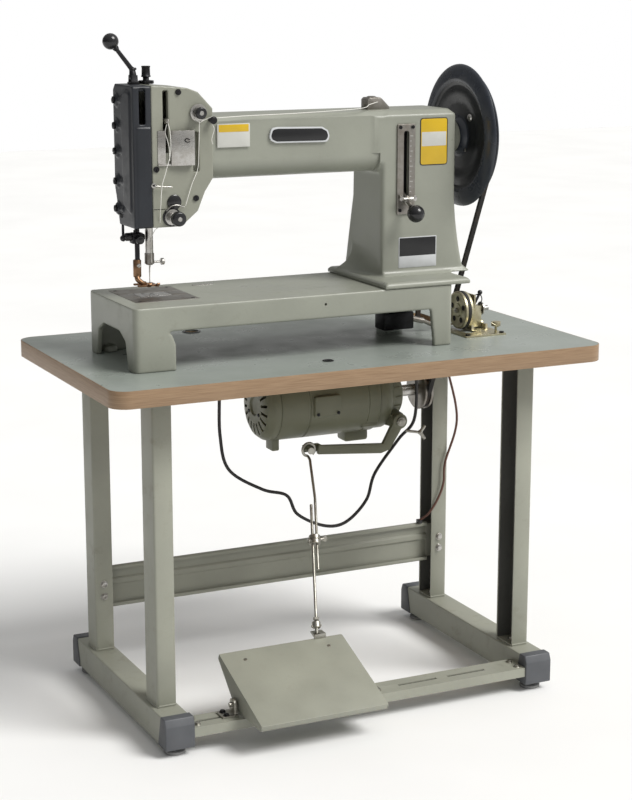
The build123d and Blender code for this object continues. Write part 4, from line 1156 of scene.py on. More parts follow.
# ---- column fittings ------------------------------------------------------------------
def make_stitch_plate():
    """Slotted scale plate with plain ticks, and a black sheet of painted shade inside its slot."""
    s = STITCH
    x = s.cx
    plate = Piece("stitch_scale_plate", WORN, WHITE)
    slot = Piece("cut")
    slot.prism("xz", rect(x - 7, x + 7, 1156, 1318, 6.9), s.y0 - 3, s.y1 + 3)
    plate.prism("xz", rect(s.x0, s.x1, s.z0, s.z1, 3), s.y0, s.y1, bevel=0.8)
    for k in range(13):
        z = 1168 + k * 11.5
        length = 4 if k % 3 else 8
        plate.box((x + 9, x + 9 + length), (s.y0 - 0.25, s.y0 + 1), (z - 0.5, z + 0.5), mat=1, bevel=0.1)
    plate.done("stitch_plate", cutters=[slot])
    # Black sheet behind the scale plate's slot: painted shade.
    slot_shade_sheet = Piece("stitch_slot_painted_shade", SHADE_BLACK)
    slot_shade_sheet.box((x - 12, x + 12), (s.y1 + 17, s.y1 + 19), (1145, 1329), bevel=0.3)
    slot_shade_sheet.add("machine", "dark_steel")


def make_stitch_control():
    """Scale plate and the lever through it, with its wing clamp and ball grip."""
    make_stitch_plate()
    x = STITCH.cx
    hub_r = 12
    arm_box = Extent("stitch_lever")
    grip = Extent("stitch_lever_ball")
    tip = Vector((x, grip.cy, grip.cz))
    pivot = Vector((x, arm_box.y1 - hub_r, arm_box.z1 - hub_r))
    way = (tip - pivot).normalized()
    lever = Piece("stitch_lever_arm", WORN, STEEL)
    lever.rod(pivot - Vector((7, 0, 0)), pivot + Vector((7, 0, 0)), hub_r)
    lever.rod(pivot, tip - way * 14, 5)
    clamp = pivot + way * 152
    lever.rod(clamp - way * 7, clamp + way * 7, 9, mat=1)
    lever.rod(clamp + Vector((-13, -3, 4)), clamp + Vector((13, -3, 4)), 4.2, mat=1)
    wing = rounded([(0, -3), (9, -7), (13, 0), (9, 7), (0, 3)], 2)
    for side in (-1, 1):
        turn = Matrix.Translation(clamp + Vector((side * 10, -4, 5)))
        turn = turn @ Matrix.Rotation(0 if side > 0 else math.pi, 4, "Z")
        lever.prism("xz", wing, -1.6, 1.6, 1, 0.7, turn)
    lever.done("stitch_lever")
    ball = Piece("stitch_lever_grip", BLACK)
    ball.ball(tip, 20, sides=40)
    ball.rod(tip - way * 24, tip - way * 15, 8, 10)
    ball.done("stitch_lever_ball")


def panel(piece, x, z, edge, fill, r):
    """Blank film panel: border sheet with a raised field."""
    y = FACE_Y
    depth = 0.8
    margin = 2.0
    piece.prism("xz", rect(x[0], x[1], z[0], z[1], r), y - depth, y + 4.6, edge, 0.15)
    field = rect(x[0] + margin, x[1] - margin, z[0] + margin, z[1] - margin, max(0.5, r - margin))
    piece.prism("xz", field, y - depth - 0.25, y, fill, 0.1)


def stripe(piece, x, z, mat, depth=1.3):
    """Plain colour band across a panel."""
    piece.prism("xz", rect(x[0], x[1], z[0], z[1], 1), FACE_Y - depth, FACE_Y - 0.6, mat, 0.1)


def make_labels():
    """Blank panels on the column and the arm, and a blank badge with a dark field."""
    y = FACE_Y
    yellow, ink, silver, white = 0, 1, 2, 3
    labels = Piece("blank_labels", YELLOW, INK, SILVER, WHITE)
    panel(labels, (241, 313), (1237, 1345), ink, yellow, 8)
    stripe(labels, (245, 309), (1281, 1313), white, 1.4)
    panel(labels, (188, 287), (1003, 1074), silver, ink, 2)
    stripe(labels, (190, 285), (1005, 1030), silver)
    panel(labels, (-261, -184), (1297, 1348), white, white, 1.5)
    stripe(labels, (-258, -187), (1330, 1346), yellow)
    badge = [(-137, 1318), (-132, 1335), (-118, 1337), (-8, 1334), (6, 1326), (10, 1313), (6, 1301),
             (-6, 1300), (-122, 1302), (-134, 1308)]
    labels.prism("xz", rounded(badge, 9), y - 1.6, y + 4.6, silver, 0.3)
    field = [(-63 + (x + 63) * 0.95, 1318 + (z - 1318) * 0.8) for x, z in badge]
    labels.prism("xz", rounded(field, 8), y - 2.1, y, ink, 0.3)
    labels.done("label_plates")


def make_oiler():
    """Low oil-filler casting with a sloped end and a round lid."""
    y = Extent("oiler_cap").cy
    cap = Piece("oiler_body", WORN)
    x0, x1, low = 132, 190, ARM.z1 - 18
    side = [(x0, low), (x0, 1386), (x0 + 5, 1391), (x0 + 34, 1391), (x0 + 42, 1384), (x1 - 2, 1370),
            (x1, low)]
    cap.prism("xz", rounded(side, 3), y - 17, y + 17, bevel=3)
    cap.lathe(*upright(x0 + 18, y, 1390), [(0, 0), (0, 11), (2, 11), (3.5, 8), (3.5, 0)], sides=32)
    cap.screw((x1 - 12, y, 1374), (0.4, 0, 1), 5, 3, turn=30)
    cap.done("oiler_cap")


def make_threads():
    """Waxed thread: spool end, upper tension, take-up, guide and needle."""
    y = FACE_Y
    thick = 0.75
    over = Piece("thread_along_arm", THREAD)
    runs = (
        [(176, AXIS_Y - 10, 1382), (120, -70, 1378), (86, y + 2, 1371), (-60, y - 2, 1366),
         (-190, y - 3, 1364), (-277, y - 14, 1362)],
        [(-277, y - 14, 1366), (-296, y - 9, 1358), (-306, y - 9, 1354), (-316, y - 9, 1362)],
        [(-306, y - 9, 1356), (-309, y - 11, 1300), (-310, y - 6, 1255), (-324, y - 6, 1222),
         (-341, y - 9, 1176)],
    )
    for run in runs:
        over.wire(run, thick, sides=6)
    tail = [(-279, y - 15, 1350), (-274, y - 14, 1338), (-279, y - 12, 1318), (-276, y - 10, 1306)]
    over.wire(tail, thick * 0.9, sides=6)
    over.add("machine", "label")
    eye = (TAKE_UP.cx - 2, -98, 1358)
    guide = (-399, y - 10, 1176)
    clamp = (NEEDLE_X, AXIS_Y - 11, 1098)
    slack = Piece("thread_from_take_up", THREAD)
    slack.wire([eye, (eye[0] + 4, y - 14, 1330), (eye[0] + 2, y - 17, 1290), (-388, y - 15, 1250),
                (-396, y - 13, 1221), guide], thick, sides=6)
    slack.wire([(eye[0] - 3, y - 11, 1352), (eye[0] - 4, y - 4, 1335), (eye[0] + 1, y - 3, 1318),
                (eye[0] + 4, y - 6, 1300), (eye[0] + 2, y - 12, 1275)], thick, sides=6)
    slack.add(("take_up", "machine", eye, (eye[0], eye[1], 1250)), "label")
    down = Piece("thread_to_needle", THREAD)
    down.wire([guide, (-397, y + 4, 1136), (-394, y + 40, 1120), clamp], thick, sides=6)
    down.add(("machine", "needle_bar", (guide[0], guide[1], 1140), clamp), "label")
    last = Piece("thread_at_needle", THREAD)
    drops = ((11, 1098), (12, 1070), (12, 1046), (3, 1030), (1.6, NEEDLE_BOX.z0 + 12))
    last.wire([(NEEDLE_X, AXIS_Y - ahead, z) for ahead, z in drops], 0.6, sides=6)
    last.add("needle_bar", "label")


# ---- bobbin winder -----------------------------------------------------------------
def make_winder_base():
    """Bolted base with its small thread tension and wire guide."""
    base = Extent("winder_base")
    stand = Piece("winder_base_plate", GOLD_ZINC, DARK)
    soften(stand, "winder_base", 0.8)
    for y in (-120, -28):
        for x in (358, 450):
            stand.screw((x, y, base.z0 + 4), (0, 0, 1), 5.5, 3.5, mat=1, turn=x + y)
    for k in range(3):
        low, high, r = k * 3, k * 3 + 1.6, 10 - k
        stand.lathe(*upright(440, -110, 852), [(low, 3), (low, r), (high, r), (high, 3)], closed=True)
    stand.wire([(440, -120, 851), (430, -126, 856), (420, -122, 862)], 1.4)
    stand.done("winder_base")


def make_winder_frame(z):
    """Swinging frame with its trip lever; z is the wheel's height."""
    arm = Piece("winder_swing_frame", GOLD_ZINC, DARK, BLACK)
    soften(arm, "winder_frame", 1.0)
    arm.screw((413, -44, z + 4), (1, 0, 0), 6, 4, mat=1, slot="hex")
    arm.box((414, 424), (-8, 12), (z - 2, z + 16), mat=2, bevel=3)
    arm.rod((426, -28, z + 6), (446, -22, z + 34), 3.2, mat=1)
    arm.ball((447, -21.7, z + 36), 6, mat=2)
    arm.wire([(413, -52, z + 36), (420, -66, z + 40), (424, -70, z + 28), (416, -70, z + 14)], 1.3, mat=1)
    arm.done("winder_frame")


def make_winder():
    """Belt-driven bobbin winder: base, frame and cupped wheel with a rubber band."""
    w = Extent("winder_wheel")
    y, z = w.cy, w.cz
    make_winder_base()
    make_winder_frame(z)
    x = w.x0
    wheel = Piece("winder_drum", GOLD_ZINC, RUBBER, STEEL)
    front = [(3, 6), (3, 15), (5, 17), (5, 36), (3.3, 39), (3, 42), (4, 44.4), (6, 45)]
    back = [(22, 45), (24.4, 44.4), (25, 42), (25, 39.5), (23, 38.6), (8, 38), (7.5, 17), (10, 14), (25, 13),
            (26, 6)]
    axis = (x, y, z), (x + 1, y, z)
    wheel.lathe(*axis, front + back, sides=64, closed=True)
    wheel.lathe(*axis, [(9, 44.8), (10, 45.6), (18, 45.6), (19, 44.8)], mat=1, sides=64)
    # Five thin dark discs on the drum's face stand for its holes: painted shade.
    for k in range(5):
        a = 2 * math.pi * k / 5 + 0.3
        hole_y, hole_z = y + 27 * math.cos(a), z + 27 * math.sin(a)
        wheel.lathe((x + 4.8, hole_y, hole_z), (x, hole_y, hole_z), disc(6.5, 0.5), mat=1, sides=24)
    wheel.rod((x, y, z), (w.x1, y, z), 6, mat=2)
    wheel.rod((x + 67, y, z), (x + 71, y, z), 16, mat=2)
    wheel.screw((x, y, z), (-1, 0, 0), 5, 2, mat=2, slot="cap")
    wheel.done("winder_wheel")


# ---- table --------------------------------------------------------------------------
def make_table():
    """Table board, edge band, bearers underneath and two plastic fittings in the top."""
    top = TABLE_BOX.z1
    fittings = Piece("table_fittings", BLACK, DARK)
    cable_hole, plug = (-200, 230), (-60, -226)
    for (x, y), r in ((cable_hole, 22), (plug, 13)):
        ring = [(0, r - 6), (0, r), (1.2, r), (2, r - 1.5), (2, r - 5), (1, r - 6)]
        fittings.lathe(*upright(x, y, top), ring, sides=40, closed=True)
    fittings.lathe(*upright(*plug, top), disc(8, 0.8, -0.5), mat=1, sides=32)
    fittings.add("machine", "black_plastic")
    bearers = Piece("table_bearer_pair", STAND, DARK)
    soften(bearers, "table_bearers", 1.2)
    low = Extent("table_bearers").z0
    for side in (-1, 1):
        for y in (-268, -120, 60, 150, 270):
            bearers.screw((side * 454, y, low), (0, 0, -1), 6, 3, mat=1, slot="cap")
    bearers.done("table_bearers")
    copied("table_core", "table_board", BOARD, 0.6)
    copied("table_edge_band", "table_edging", EDGING, 0.7)


# ---- stand --------------------------------------------------------------------------
COLUMN_OUT = Extent("stand_columns").x1
COLUMN_W = 44
FRONT_Y = (-226, -154)
BACK_Y = (175, 238)
SHEET = 3.0


def channel(inset, y0, y1, side, depth):
    """Open path of a folded channel whose mouth faces the middle of the table."""
    mouth = side * (COLUMN_OUT - COLUMN_W + depth)
    web = side * (COLUMN_OUT - inset)
    return [(mouth, y0 + inset), (web, y0 + inset), (web, y1 - inset), (mouth, y1 - inset)]


def make_columns():
    """Folded channel columns lined inside with a dark sheet of painted shade, welded to bolted foot plates.
    """
    top = Extent("stand_columns").z1
    low = Extent("foot_bars").z1
    out, width = COLUMN_OUT, COLUMN_W
    columns = Piece("column_set", STAND, ZINC, STAND_PAINTED_SHADE)
    for side in (-1, 1):
        for y0, y1 in (FRONT_Y, BACK_Y):
            sheet = folded(channel(SHEET / 2, y0, y1, side, 0), SHEET, 3)
            columns.prism("xy", sheet, low + 3.4, top, bevel=0.4)
            # Thin dark lining inside each channel: painted shade.
            shade_lining = folded(channel(SHEET + 0.4, y0, y1, side, 1.5), 0.8, 2)
            columns.prism("xy", shade_lining, low + 4, top - 0.5, mat=2)
            x0, x1 = sorted((side * (out - width), side * out))
            columns.prism("xy", rect(x0, x1, y0, y1, 4), low, low + 4, bevel=0.8)
            bolt = (side * (out - width / 2), (y0 + y1) / 2, low + 4)
            columns.screw(bolt, (0, 0, 1), 8, 7, mat=1, slot="hex", turn=y0)
            weld = [(side * (out - 4), y0 + 1, low + 4), (side * (out - width), y0 + 1, low + 4)]
            columns.tube(weld, 2.2, sides=8)
            weld = [(side * (out - 0.5), y0 + 4, low + 1), (side * (out - 0.5), y1 - 4, low + 1)]
            columns.tube(weld, 2.0, sides=8)
    columns.done("stand_columns")


def make_stand():
    """Columns on square tube foot bars with moulded end caps and levelling pads."""
    make_columns()
    bars = Extent("foot_bars")
    bar_w = 64
    foot = Piece("foot_bar_pair", STAND, DARK)
    cap = Piece("foot_cap_set", CAP)
    pads = Piece("levelling_foot_set", PAD, ZINC)
    pad = [(0, 0), (0, 22), (1.5, 24), (7, 24), (9, 22), (11, 13), (14, 11), (14, 0)]
    bolt_rows = (FRONT_Y[0] + 16, FRONT_Y[1] - 16, BACK_Y[0] + 14, BACK_Y[1] - 14)
    for side in (-1, 1):
        x0, x1 = sorted((side * bars.x1, side * (bars.x1 - bar_w)))
        mid = (x0 + x1) / 2
        foot.prism("xz", rect(x0, x1, bars.z0, bars.z1, 4), bars.y0 + 26, bars.y1 - 26, bevel=0)
        for y, way in ((bars.y0, -1), (bars.y1, 1)):
            end = y + way * 8
            low, high = bars.z0 - 1, bars.z1 + 2.5
            side_view = [(end - way * 50, low), (end, low), (end, bars.z1 - 14), (end - way * 7, high),
                         (end - way * 32, high)]
            cap.prism("yz", rounded(side_view, 4), x0 - 2.5, x1 + 2.5, bevel=3, segments=3)
        for y in (bars.y0 + 30, bars.y1 - 30):
            pads.lathe(*upright(mid, y, 0), pad, sides=40)
            pads.rod((mid, y, 12), (mid, y, bars.z0 + 2), 5, mat=1)
            pads.screw((mid, y, 14), (0, 0, 1), 9, 6, mat=1, slot="hex", turn=y)
        for y in bolt_rows:
            foot.screw((mid, y, bars.z0), (0, 0, -1), 7, 4, mat=1, slot="hex", turn=y)
    foot.done("foot_bars")
    cap.done("foot_caps")
    pads.done("levelling_feet")


def make_brace():
    """Rear brace: folded sheet with one pressed bead, and an end plate at each column."""
    b = Extent("rear_brace")
    thick = 2.5
    y = b.y1 - thick / 2
    lip = b.y0 + 1
    low, high = b.z0 + thick / 2, b.z1 - thick / 2
    bead = b.z0 + 62
    brace = Piece("rear_brace_sheet", STAND)
    path = [(lip, b.z0 + 9), (lip, low), (y, low)]
    path += [(y, bead - 9), (y - 4.5, bead - 5), (y - 4.5, bead + 5), (y, bead + 9)]
    path += [(y, high), (lip, high), (lip, b.z1 - 9)]
    brace.prism("yz", folded(path, thick, 2), -431.5, 431.5, bevel=0.4)
    for side in (-1, 1):
        x0, x1 = sorted((side * 428, side * 470))
        brace.prism("xz", rect(x0, x1, b.z0 + 8, b.z1 - 8, 6), y - 1.2, y + 1.2, bevel=0.5)
    brace.done("rear_brace")


def make_rail():
    """Treadle rail with three slots filled with black painted shade, and a bolt at each corner."""
    r = Extent("treadle_rail")
    rail = Piece("treadle_rail_channel", STAND, SHADE_BLACK, ZINC)
    soften(rail, "treadle_rail", 1.2)
    # Black strips in the rail's slots: painted shade.
    for x0, x1 in ((-407, -334), (97, 201), (227, 330)):
        rail.box((x0, x1), (-278, -267), (r.z1 - 4.6, r.z1 - 3.2), mat=1, bevel=0.2)
    for side in (-1, 1):
        for y in (r.y0 + 17, r.y1 - 17):
            rail.screw((side * (r.x1 - 16), y, r.z1), (0, 0, 1), 6.5, 5, mat=2, slot="hex", turn=y)
    rail.done("treadle_rail")


# ---- treadle and linkage ----------------------------------------------------------------
TREADLE_PIVOT = (-268, 85)
TREADLE_TILT = 20.6


def tilted():
    """Level treadle to its rest tilt, about the pivot."""
    go = Matrix.Translation((0, *TREADLE_PIVOT))
    return go @ Matrix.Rotation(math.radians(TREADLE_TILT), 4, "X") @ go.inverted()


def make_treadle():
    """Flat pan on a cross shaft, two screws in its top, and the brackets that carry it."""
    t = Extent("treadle_plate")
    x0, x1 = t.x0 + 19, t.x1 - 19
    y, z = TREADLE_PIVOT
    front = y - 129
    back = front + 252
    top = z + 42
    sheet = 3
    turn = tilted()
    plate = Piece("treadle_board", STAND, ZINC)
    plate.prism("xy", rect(x0, x1, front, back, 5), top - sheet, top, bevel=0.7, turn=turn)
    cheek = rounded([(front, top - 2.5), (back, top - 2.5), (back, top - 14), (y + 18, z - 12),
                     (y - 18, z - 12), (front, top - 14)], 4)
    for x in (x0, x1 - sheet):
        plate.prism("yz", cheek, x, x + sheet, bevel=0.7, turn=turn)
    for edge in (front, back - sheet):
        plate.box((x0, x1), (edge, edge + sheet), (top - 14, top - 1), bevel=1, turn=turn)
    for k in range(3):
        x = x0 + (x1 - x0) * (k + 1) / 4
        plate.box((x - 2, x + 2), (front + 6, back - 6), (top - 11, top - 2.5), bevel=0.8, turn=turn)
    plate.rod((x0, y, z), (x1, y, z), 7)
    plate.rod((t.x0, y, z), (x0 + 1, y, z), 5, mat=1)
    plate.rod((x1 - 1, y, z), (t.x1, y, z), 5, mat=1)
    for x in (x0 + 52, x0 + 262):
        c = turn @ Vector((x, y + 90, top))
        axis = (turn @ Vector((x, y + 90, top + 1))) - c
        plate.screw(c, axis, 4.2, 1.2, mat=1, turn=x)
    plate.done("treadle_plate")
    brackets = Piece("treadle_bracket_pair", ZINC, DARK)
    soften(brackets, "treadle_brackets", 0.9)
    for x in (x0 - 30, x1 + 30):
        for dy in (-11, 11):
            brackets.screw((x, y + dy, 66), (0, 0, 1), 6, 5, mat=1, slot="hex", turn=x + dy)
    brackets.done("treadle_brackets")
    copied("treadle_ball_stud", "treadle_ball", ZINC, 0.6)


CLUTCH_PIVOT = (291, 92, 592)
ROD_LOW = Vector((-52, -150, 190))
ROD_TOP = Vector((44, 92, 546))


def make_pitman():
    """Two rods in a split clamp; the upper one ends in a hook bent round the lever's peg."""
    way = (ROD_TOP - ROD_LOW).normalized()
    side = Vector((1, 0, 0))
    wire_r = 3.4
    lower = Piece("pitman_lower", ZINC)
    cup = [(-5, 6), (-5, 9), (-4, 10), (9, 10), (12, 6), (13, 4.2), (13, 0), (4, 0), (0, 6)]
    lower.lathe(ROD_LOW, ROD_TOP, cup)
    lower.rod(ROD_LOW + way * 10, ROD_LOW + way * 300, wire_r)
    lower.lathe(ROD_LOW, ROD_TOP, [(14, 3), (14, 7), (20, 7), (20, 3)], sides=6)
    lower.done("pitman_lower_rod")
    upper = Piece("pitman_upper", ZINC)
    start = ROD_LOW + way * 136 + side * 11
    bend = ROD_LOW + way * 316 + side * 11
    neck = ROD_TOP - way * 26 + side * 2
    eye_r = 16
    hook = []
    for k in range(14):
        a = math.radians(-100 - k * 24)
        hook.append(ROD_TOP + Vector((eye_r * math.cos(a), 0, eye_r * math.sin(a))))
    upper.tube([start, bend, bend + (neck - bend) * 0.5, neck] + smooth_path([neck] + hook, 3)[1:], wire_r,
               sides=12)
    upper.done("pitman_upper_rod")
    clamp = Piece("pitman_clamp_block", ZINC)
    c = ROD_LOW + way * 210 + side * 5.5
    barrel = [(0, 0), (0, 13), (1, 14), (9.5, 14), (10.5, 12.6), (11.5, 12.6), (12.5, 14), (21, 14), (22, 13),
              (22, 0)]
    clamp.lathe(c - way * 11, c + way * 11, barrel, sides=32)
    s = c + side * 12
    clamp.rod(s, s + side * 13, 3)
    wing = rounded([(0, -5), (10, -9), (12, 0), (10, 9), (0, 5)], 2.5)
    clamp.prism("xz", wing, s.y - 1.6, s.y + 1.6, 0, 0.7, Matrix.Translation((s.x + 8, 0, s.z)))
    clamp.screw(c - side * 13, (-1, 0, 0), 7, 5, slot="hex")
    clamp.done("pitman_clamp")


def make_clutch_lever():
    """Clutch lever with its peg, the pivot pins and the housing's wing screw."""
    x, y, z = CLUTCH_PIVOT
    lever = Piece("clutch_lever_arm", MOTOR_PAINT_SHADED, ZINC)
    soften(lever, "clutch_lever", 1.6)
    hub = [(0, 6.2), (0, 17), (1.5, 19), (14, 19), (15.5, 17), (15.5, 6.2)]
    lever.lathe((x, y - 8, z), (x, y + 7.5, z), hub, closed=True)
    lever.rod((ROD_TOP.x, y - 12, ROD_TOP.z), (ROD_TOP.x, y - 15, ROD_TOP.z), 8.5, mat=1)
    lever.done("clutch_lever")
    pins = Piece("pivot_pin_set", STEEL, ZINC)
    soften(pins, "pivot_pins", 0.5)
    pins.screw((x, y - 13, z), (0, -1, 0), 9, 4, mat=1, slot="hex")
    pins.done("pivot_pins")
    head = (352, 96, 556)
    wing = Piece("clutch_wing_screw", ZINC)
    wing.rod((320, 110, 560), head, 3.4)
    for side in (-1, 1):
        wing.rod(head, (364, 92, head[2] + side * 17), 5, 3.5)
    wing.ball(head, 6)
    wing.add("machine", "zinc")


# ---- motor --------------------------------------------------------------------------
MOTOR_R = 88
END_X = (-22, 245)          # ends of the motor's barrel


def make_motor():
    """Clutch motor under the table: barrel, hanging feet, cover, clutch, pulley and rotor."""
    make_motor_body()
    make_motor_end(END_X[0])
    make_clutch(END_X[1])
    make_rotor()


def make_motor_body():
    """Motor barrel with two seams, its hangers, tie rods, drain lugs and terminal box."""
    y, z = MOTOR_AXIS
    x0, x1 = END_X
    r = MOTOR_R
    seam = 52
    # The motor's paint carries painted shade.
    body = Piece("motor_stator", MOTOR_PAINT_SHADED, DARK, ZINC)
    profile = [(x0, 30), (x0, 85), (x0 + 3, r - 0.6), (seam - 3, r), (seam - 1.5, 86), (seam + 1.5, 86),
               (seam + 3, r), (x1 - 36, r), (x1 - 35, 86.6), (x1 - 33, 86.6), (x1 - 32, r), (x1 - 3, r),
               (x1, 85), (x1, 30)]
    body.lathe(*across(y, z), profile, sides=72)
    under = TABLE_BOX.z0
    body.box((x0 + 20, x1 - 20), (y - 60, y + 60), (under - 6, under), bevel=1.5)
    for x in (x0 + 35, x1 - 60):
        body.box((x, x + 26), (y - 30, y + 30), (z + 60, under - 5), bevel=4)
        for dy in (-46, 46):
            body.screw((x + 13, y + dy, under - 6), (0, 0, -1), 8, 6, mat=2, slot="hex")
    body.box((-20, -1), (y - 20, y + 20), (532, z - 60), bevel=3)
    body.box((176, 240), (y - 24, y + 24), (535, z - 60), bevel=7, segments=3)
    tie = [(0, 0), (0, 8), (2, 10), (41, 10), (43, 8), (43, 0)]
    for k in range(4):
        a = math.radians(45 + 90 * k)
        tie_y, tie_z = y + 82 * math.cos(a), z + 82 * math.sin(a)
        body.lathe((x1 - 44, tie_y, tie_z), (x1 - 1, tie_y, tie_z), tie, sides=20)
    left, front, low = 60, y - 96, z - 22
    body.box((left, left + 70), (front, y - 74), (low, low + 52), bevel=5)
    for dx in (8, 62):
        body.screw((left + dx, front, low + 8), (0, -1, 0), 4, 2.4, mat=1)
    body.done("motor_body")


def make_motor_end(x0):
    """Vented fan cover: a ring of radial slots, a centre boss and three screws."""
    y, z = MOTOR_AXIS
    cover = Piece("motor_fan_cover", MOTOR_PAINT_SHADED, DARK)
    outside = [(x0, 84), (x0 - 2, 86), (x0 - 12, 86), (x0 - 18, 84), (x0 - 30, 75), (x0 - 35, 66),
               (x0 - 37.5, 52), (x0 - 38, 24), (x0 - 34, 20), (x0 - 34, 0)]
    inside = [(x0 - 30, 0), (x0 - 30, 50), (x0 - 28, 64), (x0 - 11, 80), (x0, 80)]
    cover.lathe(*across(y, z), (outside + inside)[::-1], sides=72)
    vents = Piece("cut")
    for k in range(18):
        spin = Matrix.Translation((x0 - 25, y, z)) @ Matrix.Rotation(math.radians(20 * k), 4, "X")
        vents.prism("xy", rect(-20, 20, -3.4, 3.4), 42, 70, turn=spin, bevel=0)
    for k in range(3):
        a = math.radians(90 + 120 * k)
        center = (x0 - 37, y + 33 * math.cos(a), z + 33 * math.sin(a))
        cover.screw(center, (-1, 0, 0), 4.5, 3, mat=1, turn=50 * k)
    cover.done("motor_end_cover", cutters=[vents])
    # Black ring behind the vents: the fan, in black painted shade.
    fan = Piece("motor_fan", SHADE_BLACK)
    blades = [(x0 - 18, 30), (x0 - 18, 72), (x0 - 14, 72), (x0 - 14, 30)]
    fan.lathe(*across(y, z), blades, sides=48, closed=True)
    fan.add("machine", "dark_steel")


def make_clutch(x1):
    """Clutch housing: stepped drum with fins, cap screws and the lever's lug."""
    y, z = MOTOR_AXIS
    pivot_x, pivot_y, pivot_z = CLUTCH_PIVOT
    housing = Piece("clutch_shell", MOTOR_PAINT_SHADED, ZINC)
    outline = [(x1, 30), (x1, 83), (x1 + 2, 84.5), (x1 + 28, 84.5), (x1 + 33, 82), (x1 + 45, 66),
               (x1 + 50, 61), (x1 + 72, 58), (x1 + 75, 55), (x1 + 75, 14.6), (x1 + 60, 14.6), (x1 + 60, 30)]
    housing.lathe(*across(y, z), outline, sides=72)
    lug = rounded([(pivot_y + 7, pivot_z - 16), (y - 26, pivot_z - 20), (y - 26, pivot_z + 22),
                   (pivot_y + 7, pivot_z + 16)], 5)
    housing.prism("yz", lug, pivot_x - 16, pivot_x + 16, bevel=2.5)
    for k in range(6):
        a = math.radians(60 * k + 10)
        center = (x1 + 28, y + 76 * math.cos(a), z + 76 * math.sin(a))
        housing.screw(center, (1, 0, 0), 5, 5, mat=1, slot="cap")
    for k in range(16):
        spin = Matrix.Translation((x1 + 61, y, z)) @ Matrix.Rotation(math.radians(22.5 * k), 4, "X")
        housing.box((-9, 9), (-2, 2), (57.5, 61.5), bevel=1, turn=spin)
    housing.done("clutch_housing")


def make_rotor():
    """Grooved motor pulley, and the rotor's shaft with a nut on its end."""
    y, z = MOTOR_AXIS
    bore = 14.6
    p = PULLEY_BOX
    left, right = BELT_BOX.cx - 5.7, BELT_BOX.cx + 5.7
    pulley = Piece("motor_pulley_turned", WORN)
    groove = [(left - 0.5, 50), (left, 49.5), (left, 37.7), (right, 37.7), (right, 49.5), (right + 0.5, 50)]
    pulley.lathe(*across(y, z), [(p.x0, bore), (p.x0, 46), (p.x0 + 3, 50)] + groove
                 + [(p.x1 - 3, 50), (p.x1, 46), (p.x1, 34), (p.x1 - 4, 30), (p.x1 - 4, bore)],
                 sides=64, closed=True)
    pulley.done("motor_pulley")
    s = Extent("motor_shaft")
    shaft = Piece("motor_shaft_turned", STEEL, DARK)
    shaft.lathe(*across(y, z), [(s.x0, 0), (s.x0, 13.5), (s.x0 + 1, 14.5), (30, 14.5), (30, 27), (200, 27),
                                (200, 14.5), (s.x1 - 1, 14.5), (s.x1, 13.5), (s.x1, 0)])
    shaft.screw((s.x1, y, z), (1, 0, 0), 9, 4, mat=1, slot="hex")
    shaft.done("motor_shaft")


def make_belt():
    """Worn V-belt on its fixed path."""
    copied("drive_belt_loop", "drive_belt", BELT, 0)


# ---- cables and switch ----------------------------------------------------------------
def make_motor_cable(box):
    """Black cable from the switch box, in a loop under the motor and up to the table."""
    top = TABLE_BOX.z0
    cable = Piece("motor_cable_loop", CABLE, BLACK)
    loop = [(-168, 139, box.z0 - 2), (-169, 135, 593), (-151, 125, 510), (-71, 112, 456), (-8, 107, 434),
            (20, 104, 384), (90, 102, 347), (150, 103, 348), (208, 106, 396), (236, 113, 461),
            (310, 130, 535), (350, 122, 585), (350, 112, 700), (350, 110, top - 2)]
    cable.wire(loop, 4, steps=12)
    gland = [(-2, 0), (-2, 9), (8, 9), (9, 6), (16, 5.4), (16, 0)]
    cable.lathe((-168, 139, box.z0), (-168, 138.6, box.z0 - 16), gland, mat=1)
    cable.box((338, 362), (104, 116), (top - 5, top), mat=1, bevel=1.5)
    cable.done("motor_cable")


def make_mains_cable():
    """Brown cable from the table down behind the right columns to the brace."""
    top = TABLE_BOX.z0
    drop = Piece("mains_cable", BROWN_CABLE, BLACK)
    path = [(421, 150, top - 2), (464, 158, 690), (496, 163, 560), (465, 165, 451), (461, 165, 398),
            (446, 165, 358), (424, 174, 318), (408, 192, 297)]
    drop.wire(path, 3, steps=12)
    drop.box((417, 425), (144, 156), (top - 8, top), mat=1, bevel=1.5)
    drop.box((402, 414), (188, 202), (288, 298), mat=1, bevel=1.5)
    drop.add("machine", "cable_rubber")


def make_switch(box):
    """Switch box with two plain push buttons."""
    switch = Piece("switch_box_body", CAP, BLACK, DARK)
    switch.prism("xy", rect(box.x0, box.x1, box.y0, box.y1, 6), box.z0, box.z1, bevel=2.5)
    r = 9
    button = [(-1, 0), (-1, r + 4), (1.5, r + 4), (2, r + 1), (2, r), (5, r), (6, r - 1.5), (6, 0)]
    for z in (box.z0 + 28, box.z0 + 60):
        switch.lathe(*forward(box.cx, z, box.y0), button, mat=1, sides=32)
    for x in (box.x0 + 8, box.x1 - 8):
        for z in (box.z0 + 9, box.z1 - 9):
            switch.screw((x, box.y0, z), (0, -1, 0), 3, 1.6, mat=2, turn=x)
    switch.done("switch_box")


def make_cables():
    """Both cables and the switch box, and under the bed the hook's shaft."""
    box = Extent("switch_box")
    make_motor_cable(box)
    make_mains_cable()
    make_switch(box)
    copied("hook_shaft_turned", "hook_shaft", STEEL, 0.6)


# ---- carried CAD nodes ----------------------------------------------------------
def dress_cad():
    """Every CAD node keeps its shape and takes the look of its material slot."""
    for name, slot in SLOT_OF.items():
        node = frame["nodes"][name]
        node.data.materials.clear()
        node.data.materials.append(SLOT_LOOK[slot])
        for polygon in node.data.polygons:
            polygon.use_smooth = True


